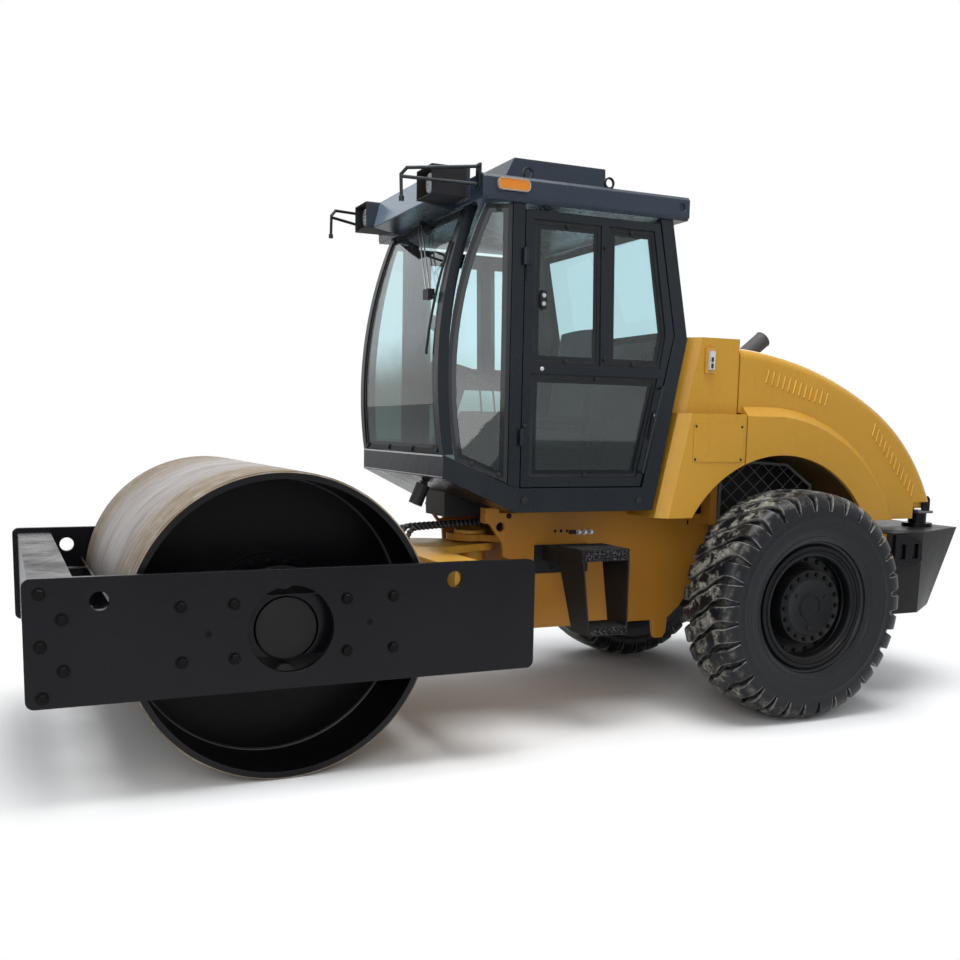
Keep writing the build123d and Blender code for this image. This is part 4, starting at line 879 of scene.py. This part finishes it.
def flat_ring(shape, outline, start, width, low, high, on_pane):
    """Adds a flat ring along an outline. on_pane turns two flat places and a height into a place."""
    outer, inner = drawn_in(outline, start), drawn_in(outline, start + width)
    loops = []
    for line, out in ((outer, low), (outer, high), (inner, high), (inner, low)):
        loops.append([shape.verts.new(on_pane(u, v, out)) for u, v in line])
    skinned(shape, loops + loops[:1])


shape = bmesh.new()
rounded = []
for x, z, quarter in ((-1.222, 3.023, 0), (-1.363, 3.023, 1), (-1.363, 3.007, 2), (-1.222, 3.007, 3)):
    for n in range(5):
        a = math.pi / 2 * (quarter + n / 4)
        rounded.append((drum_x + x + 0.022 * math.cos(a), z + 0.022 * math.sin(a)))
for side in (1, -1):
    flat_ring(shape, rounded, -0.001, 0.005, 0.836, 0.8545, lambda u, v, out: (u, side * out, v))
pale_trim = enamel("pale_trim", (0.34, 0.30, 0.25), (0.28, 0.25, 0.21), 0.35, 0.1, 0.0)
piece("side_lamp_rims", shape, "rear_frame", "plastic", pale_trim)


# ------------------------------------------------------------------ cab glazing
# Tinted safety glass: one bowed windscreen, slanted corner panes and a rear window, bonded in
# black gaskets and held by small round clips.
def glass_with_painted_sky():
    paint = Paint("glass_with_painted_sky")
    film = paint.noise(2.0, 3.0)
    # Painted reflection and painted shade: the glass is pale above, a painted reflection of the sky, and
    # darker below, where the dark inside of the cab shows through; the windscreen's lower part is darker
    # still.
    pale = paint.mix(film, (0.66, 0.84, 0.87), (0.72, 0.88, 0.91))
    front = paint.x.over(drum_x - 1.01, drum_x - 0.98)
    low = paint.mix(front, (0.33, 0.47, 0.46), (0.12, 0.165, 0.14))
    high = (paint.z + film * 0.25 - front * 0.12).over(1.95, 2.30)
    tone = paint.mix(high, low, pale)
    paint.surface(Base_Color=tone, Roughness=film * 0.002, IOR=1.45, Transmission_Weight=1.0)
    return paint.surface(Specular_IOR_Level=0.75, Coat_Weight=(1 - high) * (1 - front) * 0.55)


dress(glass_with_painted_sky(), "cab_glass", "door_glass_left", "door_glass_right")
dress(cab_enamel, "door_left", "door_right")


def shaded_glass():
    """The printed shade band inside a pane's gasket."""
    paint = Paint("shaded_glass")
    drift = paint.noise(3.0, 2.0)
    tone = paint.mix(drift, (0.006, 0.009, 0.011), (0.010, 0.014, 0.016))
    return paint.surface(Base_Color=tone, Roughness=0.06 + drift * 0.02, Specular_IOR_Level=0.22)


gasket_rubber = moulded_rubber("gasket_rubber", (0.0035, 0.0045, 0.006), 0.5)
shade = shaded_glass()
bow_x, bow_z, bow_r = drum_x - 3.485, 1.982, 2.5405
front_x, glass_y, screen_back = drum_x - 0.975, 0.786, 0.012


def bowed(z, back):
    """Where the front's bow lies at a height, moved back."""
    return bow_x - back + math.sqrt(bow_r**2 - (z - bow_z) ** 2)


def on_screen(y, z, out):
    return (bowed(z, screen_back) + out, y, z)


def on_corner(x, z, out):
    corner_deep = 0.340
    front_y = 0.673 - (z - 1.400) * 0.0567
    y = front_y + (front_x - x) / corner_deep * (glass_y - front_y)
    return (x + out * 0.4, y + out * 0.92, z)


def on_back(y, z, out):
    return (drum_x - 2.458 + (z - 2.278) * 0.1918 - out, y, z)


def on_door(x, z, out):
    return (x, glass_y + out, z)


def across(on_pane):
    """The same pane on the right."""

    def mirrored(u, v, out):
        x, y, z = on_pane(u, v, out)
        return (x, -y, z)

    return mirrored


levels = [1.5925 + 1.339 * n / 12 for n in range(13)]
half_wide = [0.6245 - (z - 1.590) * 0.05576 for z in levels]
screen_line = [*zip(half_wide, levels)] + [(-y, z) for y, z in zip(half_wide[::-1], levels[::-1])]
levels = [1.5640 + 1.366 * n / 12 for n in range(13)]
corner_line = [(bowed(z, 0.061), z) for z in levels] + from_drum([(-1.3155, 2.930), (-1.3155, 1.440)])
back_line = [(-0.7490, 2.281), (-0.7490, 2.932), (0.7490, 2.932), (0.7490, 2.281)]
door_panes = [
    [(-1.440, 2.095), (-1.440, 2.862), (-1.862, 2.862), (-1.880, 2.095)],
    [(-1.925, 2.095), (-1.907, 2.862), (-2.210, 2.862), (-2.312, 2.287), (-2.282, 2.095)],
    [(-1.440, 1.466), (-1.440, 2.040), (-2.268, 2.040), (-2.145, 1.466)],
]
panes = [("rear_frame", screen_line, on_screen, 0.026), ("rear_frame", back_line, on_back, 0.024)]
panes += [("rear_frame", corner_line, way, 0.020) for way in (on_corner, across(on_corner))]
for body, way in (("left_door", on_door), ("right_door", across(on_door))):
    panes += [(body, from_drum(line), way, 0.022) for line in door_panes]
for body in ("rear_frame", "left_door", "right_door"):
    seals, bands = bmesh.new(), bmesh.new()
    for held, line, way, wide in panes:
        if held == body:
            flat_ring(seals, line, 0.0008, wide, -0.004, 0.005, way)
            flat_ring(bands, line, wide, 0.024, 0.0004, 0.0012, way)
    piece(f"gaskets_{body}", seals, body, "rubber", gasket_rubber)
    piece(f"shade_bands_{body}", bands, body, "plastic", shade)

low_row = ((-0.59, 1.615), (-0.2, 1.612), (0.2, 1.612), (0.59, 1.615))
clips = [(on_screen(y, z, 0.005), (1, 0, 0)) for y, z in low_row]
clips += [(on_screen(y, 2.905, 0.005), (1, 0, 0.4)) for y in (-0.525, 0.525)]
corner_row = from_drum([(-1.25, 2.905), (-1.13, 1.545), (-1.27, 1.485)])
clips += both_sides([(on_corner(x, z, 0.005), (0.4, 0.92, 0)) for x, z in corner_row])
bolts("pane_clips", clips, 0.013, "rear_frame", "plastic", gasket_rubber, 18, 0.5, 1.15)
line = [(-1.65, 2.842), (-1.66, 2.113), (-2.06, 2.842), (-2.10, 2.113), (-1.80, 1.484), (-1.86, 2.024)]
for name, side in left_and_right:
    spots = looking_out(line, glass_y + 0.004, side)
    bolts(f"door_clips_{name}", spots, 0.013, f"{name}_door", "plastic", gasket_rubber, 18, 0.5, 1.15)

# bright strips along the front sill
x0, x1, sill_half = front_x - 0.001, front_x + 0.0015, 0.672
strips = [((x0, -sill_half, low), (x1, sill_half, high)) for low, high in ((1.579, 1.588), (1.464, 1.469))]
piece("sill_strips", boxes(*strips), "rear_frame", "chrome", zinc)

# ------------------------------------------------------------------ wiper
# A pantograph wiper hangs from the header: two ground steel rods to a pivot block, and a rubber
# blade in a black carrier that follows the bow of the glass.
def straight(start, end, steps):
    """Points from one place to another."""
    return [Vector(start).lerp(Vector(end), n / steps) for n in range(steps + 1)]


rods, blade = bmesh.new(), bmesh.new()
for y in (0.0, 0.052):
    rod = straight((drum_x - 1.106, y - 0.077, 2.956), (drum_x - 0.962, y + 0.440, 2.470), 12)
    swept(rods, rod, lambda n, a: 0.0045, 10)
piece("wiper_rods", rods, "rear_frame", "chrome", zinc)
line = straight((drum_x - 1.040, 0.560, 2.750), (drum_x - 0.935, 0.500, 2.140), 16)
for point in line:
    point.x = bowed(point.z, screen_back) + 0.022
swept(blade, line, lambda n, a: 0.0065 + 0.003 * abs(math.cos(a)), 8)
middle = line[8]
swept(blade, straight((drum_x - 0.962, 0.455, 2.470), middle, 2), lambda n, a: 0.008, 8)
slab(blade, (drum_x - 0.985, 0.425, 2.440), (drum_x - 0.945, 0.505, 2.495))
slab(blade, (drum_x - 1.135, -0.11, 2.925), (drum_x - 1.085, 0.005, 2.963))
piece("wiper_blade", blade, "rear_frame", "plastic", gasket_rubber, bevel=0.002)

# ------------------------------------------------------------------ door furniture
# Each door has a pull with a keyed latch in its rear stile, a catch on the sliding pane, a round
# lock on the middle rail and small hinge pins. Rubber plugs close the sill's jacking holes.
pull = [(-2.262, 1.845), (-2.236, 1.845), (-2.212, 1.690), (-2.238, 1.690)]
catch = [(-1.487, 2.475), (-1.510, 2.495), (-1.527, 2.485), (-1.527, 2.395), (-1.510, 2.385), (-1.487, 2.405)]
for name, side in left_and_right:
    shape = bmesh.new()
    extruded(shape, from_drum(pull), side * 0.7995, side * 0.8125)
    extruded(shape, from_drum(catch), side * 0.790, side * 0.804)
    slab(shape, (drum_x - 1.400, side * 0.799, 2.53), (drum_x - 1.394, side * 0.806, 2.74))
    piece(f"door_latch_{name}", shape, f"{name}_door", "plastic", gasket_rubber, bevel=0.004, rounds=2)
    bright = [(-2.252, 1.826, 0.8125), (-1.507, 2.462, 0.804), (-1.507, 2.418, 0.804), (-1.508, 2.068, 0.800)]
    spots = [((drum_x + x, side * y, z), (0, side, 0)) for x, z, y in bright]
    bolts(f"door_locks_{name}", spots, 0.010, f"{name}_door", "chrome", zinc, 16, 0.6, 1.2)
    spots = looking_out([(-1.885, 2.745), (-1.902, 2.13), (-1.405, 1.754)], 0.800, side)
    bolts(f"door_pins_{name}", spots, 0.009, f"{name}_door", "plastic", gasket_rubber, 12, 1.0, 1.3)
spots = both_sides(looking_out([(-1.416, 1.342), (-2.164, 1.332)], 0.800))
bolts("sill_plugs", spots, 0.020, "rear_frame", "plastic", gasket_rubber, 20, 0.3, 1.2)


# ------------------------------------------------------------------ seat and controls
# A sprung driver's seat: foam cushion and backrest in a woven cover with sewn channels, on a
# suspension box with a rubber gaiter. A moulded console with two levers stands beside it.
def woven_cover():
    paint = Paint("woven_cover")
    threads = 2600.0
    weave = (paint.x * threads).maths("SINE") * (paint.y * threads).maths("SINE")
    fade = paint.noise(6.0, 4.0)
    tone = paint.mix(weave * 0.3 + fade * 0.7, (0.060, 0.063, 0.068), (0.135, 0.140, 0.145))
    relief = paint.relief(weave + fade * 2.0, 0.0003)
    return paint.surface(Base_Color=tone, Roughness=0.9, Sheen_Weight=0.25, Normal=relief)


def cushion(name, middle, size, lean, crown, channels):
    """A crowned pad with sewn channels, given by its middle, size and lean in degrees."""
    shape = bmesh.new()
    bmesh.ops.create_cube(shape, size=1.0)
    bmesh.ops.subdivide_edges(shape, edges=shape.edges, cuts=17, use_grid_fill=True)
    long, wide, thick = size
    spin = Matrix.Rotation(math.radians(lean), 3, "Y")
    for vertex in shape.verts:
        u, v, w = vertex.co * 2
        bulge = (1 - u**4) * (1 - v**4)
        pull = 1 - 0.035 * (1 - abs(w)) ** 2 - 0.03 * (u * u * v * v)
        sewn = sum(math.exp(-(((v - c) * 9) ** 2)) for c in channels)
        sewn += math.exp(-(((u - channels[0]) * 14) ** 2))
        rise = math.copysign(1.0, w) * abs(w) ** 0.7 * (0.80 + crown * bulge)
        rise -= 0.10 * sewn * bulge if w > 0.5 else 0
        edge = 1 - 0.10 * max(0.0, abs(w) - 0.4) ** 2
        at = Vector((u * long / 2 * pull * edge, v * wide / 2 * pull * edge, rise * thick / 2))
        vertex.co = spin @ at + Vector(middle)
    cover = piece(name, shape, "rear_frame", "fabric", woven, "seat", angle=0)
    smooth(cover, 70)


woven = woven_cover()
floor_z, seat_x = 1.325, -0.105
cushion("seat_cushion", (seat_x, 0, floor_z + 0.345), (0.46, 0.47, 0.115), -4, 0.20, (0.0, -0.55, 0.55))
cushion("seat_back", (seat_x - 0.225, 0, floor_z + 0.735), (0.62, 0.45, 0.105), 81, 0.20, (0.3, -0.55, 0.55))
shape = bmesh.new()
slab(shape, (seat_x - 0.20, -0.20, floor_z + 0.002), (seat_x + 0.18, 0.20, floor_z + 0.10))
for n in range(6):
    inset = 0.02 + 0.012 * (n % 2)
    low = (seat_x - 0.20 + inset, -0.20 + inset, floor_z + 0.10 + 0.03 * n)
    slab(shape, low, (seat_x + 0.18 - inset, 0.20 - inset, floor_z + 0.13 + 0.03 * n))
piece("seat_gaiter", shape, "rear_frame", "plastic", plain_rubber, "seat", bevel=0.004)
moulded = moulded_rubber("moulded_plastic", (0.006, 0.006, 0.007), 0.5)
# the console, the armrest with its bracket, and the dial box on the column
shape = boxes(
    ((seat_x - 0.28, -0.56, floor_z + 0.002), (seat_x + 0.36, -0.31, floor_z + 0.52)),
    ((seat_x - 0.16, 0.27, floor_z + 0.44), (seat_x + 0.20, 0.33, floor_z + 0.49)),
    ((seat_x - 0.16, 0.245, floor_z + 0.30), (seat_x - 0.10, 0.29, floor_z + 0.46)),
    ((drum_x - 1.30, -0.17, floor_z + 0.55), (drum_x - 1.22, 0.17, floor_z + 0.67)),
)
piece("cab_console", shape, "rear_frame", "plastic", moulded, bevel=0.014, rounds=3)
shape = bmesh.new()
for x, tall in ((0.24, 0.20), (0.14, 0.15)):
    foot = Vector((seat_x + x, -0.43, floor_z + 0.52))
    end = foot + Vector((0.02, 0, tall))
    swept(shape, straight(foot, end, 4), lambda n, a: 0.006, 10)
    knob = [(0.006, 0.0), (0.020, 0.012), (0.026, 0.03), (0.020, 0.048), (0.006, 0.056)]
    swept(shape, [end + Vector((0, 0, high)) for r, high in knob], lambda n, a: knob[n][0], 14)
piece("console_levers", shape, "rear_frame", "plastic", moulded, angle=50)
dress(moulded, "steering_column", "cab_mounts")

# ------------------------------------------------------------------ cowl behind the cab
# A folded sheet cowl in two levels, raked like the cab's back. It carries a marker lamp up high
# and a screwed access panel low down on each side.
def under_arch(paint):
    """1 in the wheel arches, where the paint is darkened brown: painted shade, with oily soil."""
    arch_z = 0.814
    radius = paint.from_axle(axle_x, arch_z)
    return (1 - radius.over(0.809, 0.812)) * (1 - abs(paint.y).over(0.800, 0.806))


yellow, deep_yellow = (0.48, 0.25, 0.026), (0.43, 0.222, 0.020)
arch_enamel = enamel("arch_enamel", yellow, deep_yellow, 0.28, 0.12, 0.005, 0.28, under_arch, clay)
dress(arch_enamel, "cowl_upper", "cowl_lower", "access_panels", "hood")


def marker_glass():
    """A clear lens on a raised base that is sprayed with the cowl."""
    paint = Paint("marker_glass")
    prism = (paint.z * 500.0).maths("SINE")
    proud = abs(paint.y).over(0.7745, 0.7748)
    clear = paint.mix(prism * 0.5 + 0.5, (0.42, 0.41, 0.40), (0.60, 0.60, 0.59))
    tone = paint.mix(proud, (0.47, 0.245, 0.030), clear)
    return paint.surface(Base_Color=tone, Roughness=0.3 - proud * 0.15, Normal=paint.relief(prism, 0.0004))


dress(marker_glass(), "marker_lamps")
shape = bmesh.new()
for side in (1, -1):
    for low, high in ((2.112, 2.142), (2.150, 2.178)):
        slab(shape, (drum_x - 2.664, side * 0.790, low), (drum_x - 2.645, side * 0.7955, high))
piece("marker_frames", shape, "rear_frame", "plastic", gasket_rubber, bevel=0.002)
spots = both_sides(looking_out([(x, z) for x in (-2.530, -2.864) for z in (1.575, 1.770)], 0.8342))
bolts("panel_screws", spots, 0.0065, "rear_frame", "cast", cast_black, 12, 0.4, 1.2)

# ------------------------------------------------------------------ louvres' lips
# Each louvre pressed in the hood's sides ends in a sheared lip that stands out from the sheet. The lips of a
# row are parallel and lean forwards, and they are painted a paler yellow: a painted highlight on their edges.
lip_highlight_enamel = enamel("lip_highlight_enamel", (0.68, 0.42, 0.10), (0.60, 0.36, 0.08), 0.3, 0.05, 0.0, dust=clay)
lean = Matrix.Rotation(math.radians(-14), 4, "Y")
shape = bmesh.new()
for first, last in (((-3.105, 2.079), (-3.580, 1.950)), ((-3.996, 1.767), (-4.370, 1.365))):
    for middle in straight((drum_x + first[0], 0, first[1]), (drum_x + last[0], 0, last[1]), 11):
        for side in (1, -1):
            lip = slab(shape, (0.0124, side * 0.758, -0.042), (0.0154, side * 0.7696, 0.042))
            bmesh.ops.transform(shape, matrix=Matrix.Translation(middle) @ lean, verts=lip)
piece("louvre_lips", shape, "hood_group", "yellow_paint", lip_highlight_enamel)

# ------------------------------------------------------------------ hood hinges, exhaust, screens
# The hood tilts on two pins behind it, in brackets on short posts. A bent exhaust pipe passes
# through it, and wire screens close the arches.
dress(black_enamel, "hood_hinge_posts")
scale_steel = enamel("scaled_steel", (0.036, 0.036, 0.042), (0.060, 0.057, 0.060), 0.55, 0.2, 0.0)
dress(scale_steel, "exhaust_pipe")
along = Vector((-0.185, 0, 0.145)).normalized()
left = Vector((0, 1, 0))
tip = Vector((drum_x - 3.665, 0, 2.385)) - along * 0.004
turns = [2 * math.pi * n / 40 for n in range(41)]
ring = [tip + (left * math.cos(a) + left.cross(along) * math.sin(a)) * 0.0555 for a in turns]
shape = bmesh.new()
swept(shape, ring, lambda n, a: 0.0048, 10)
piece("exhaust_mouth", shape, "hood_group", "cast", scale_steel)
wire_grey = enamel("wire_grey", (0.08, 0.08, 0.083), (0.12, 0.117, 0.115), 0.45, 0.2, 0.0)
dress(wire_grey, "engine_screens")

# pale cover plates on the hinge posts, and rounded ears beside the arms
plate_grey = enamel("plate_grey", (0.17, 0.17, 0.18), (0.13, 0.13, 0.14), 0.35, 0.1, 0.0)
plates, ears = bmesh.new(), bmesh.new()
pin_x, pin_z, ear_r = drum_x - 4.650, 1.286, 0.034
turns = [math.pi * n / 12 for n in range(13)]
ear = [(pin_x + ear_r * math.cos(a), pin_z + ear_r * math.sin(a)) for a in turns]
ear = [(pin_x + ear_r, 1.222), *ear, (pin_x - ear_r, 1.222)]
for side in (1, -1):
    slab(plates, (pin_x - 0.0675, side * 0.4735, 1.1985), (pin_x + 0.0675, side * 0.6265, 1.2170))
    for y in (0.4745, 0.6085):
        extruded(ears, ear, side * y, side * (y + 0.017))
piece("hinge_plates", plates, "rear_frame", "grey_paint", plate_grey, bevel=0.003)
piece("hinge_ears", ears, "rear_frame", "black_paint", black_enamel, bevel=0.002)

# ------------------------------------------------------------------ sizes
# The frame's box and the model's box are taken, first the frame's and then the model's.
boxes = [cad_box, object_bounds()]
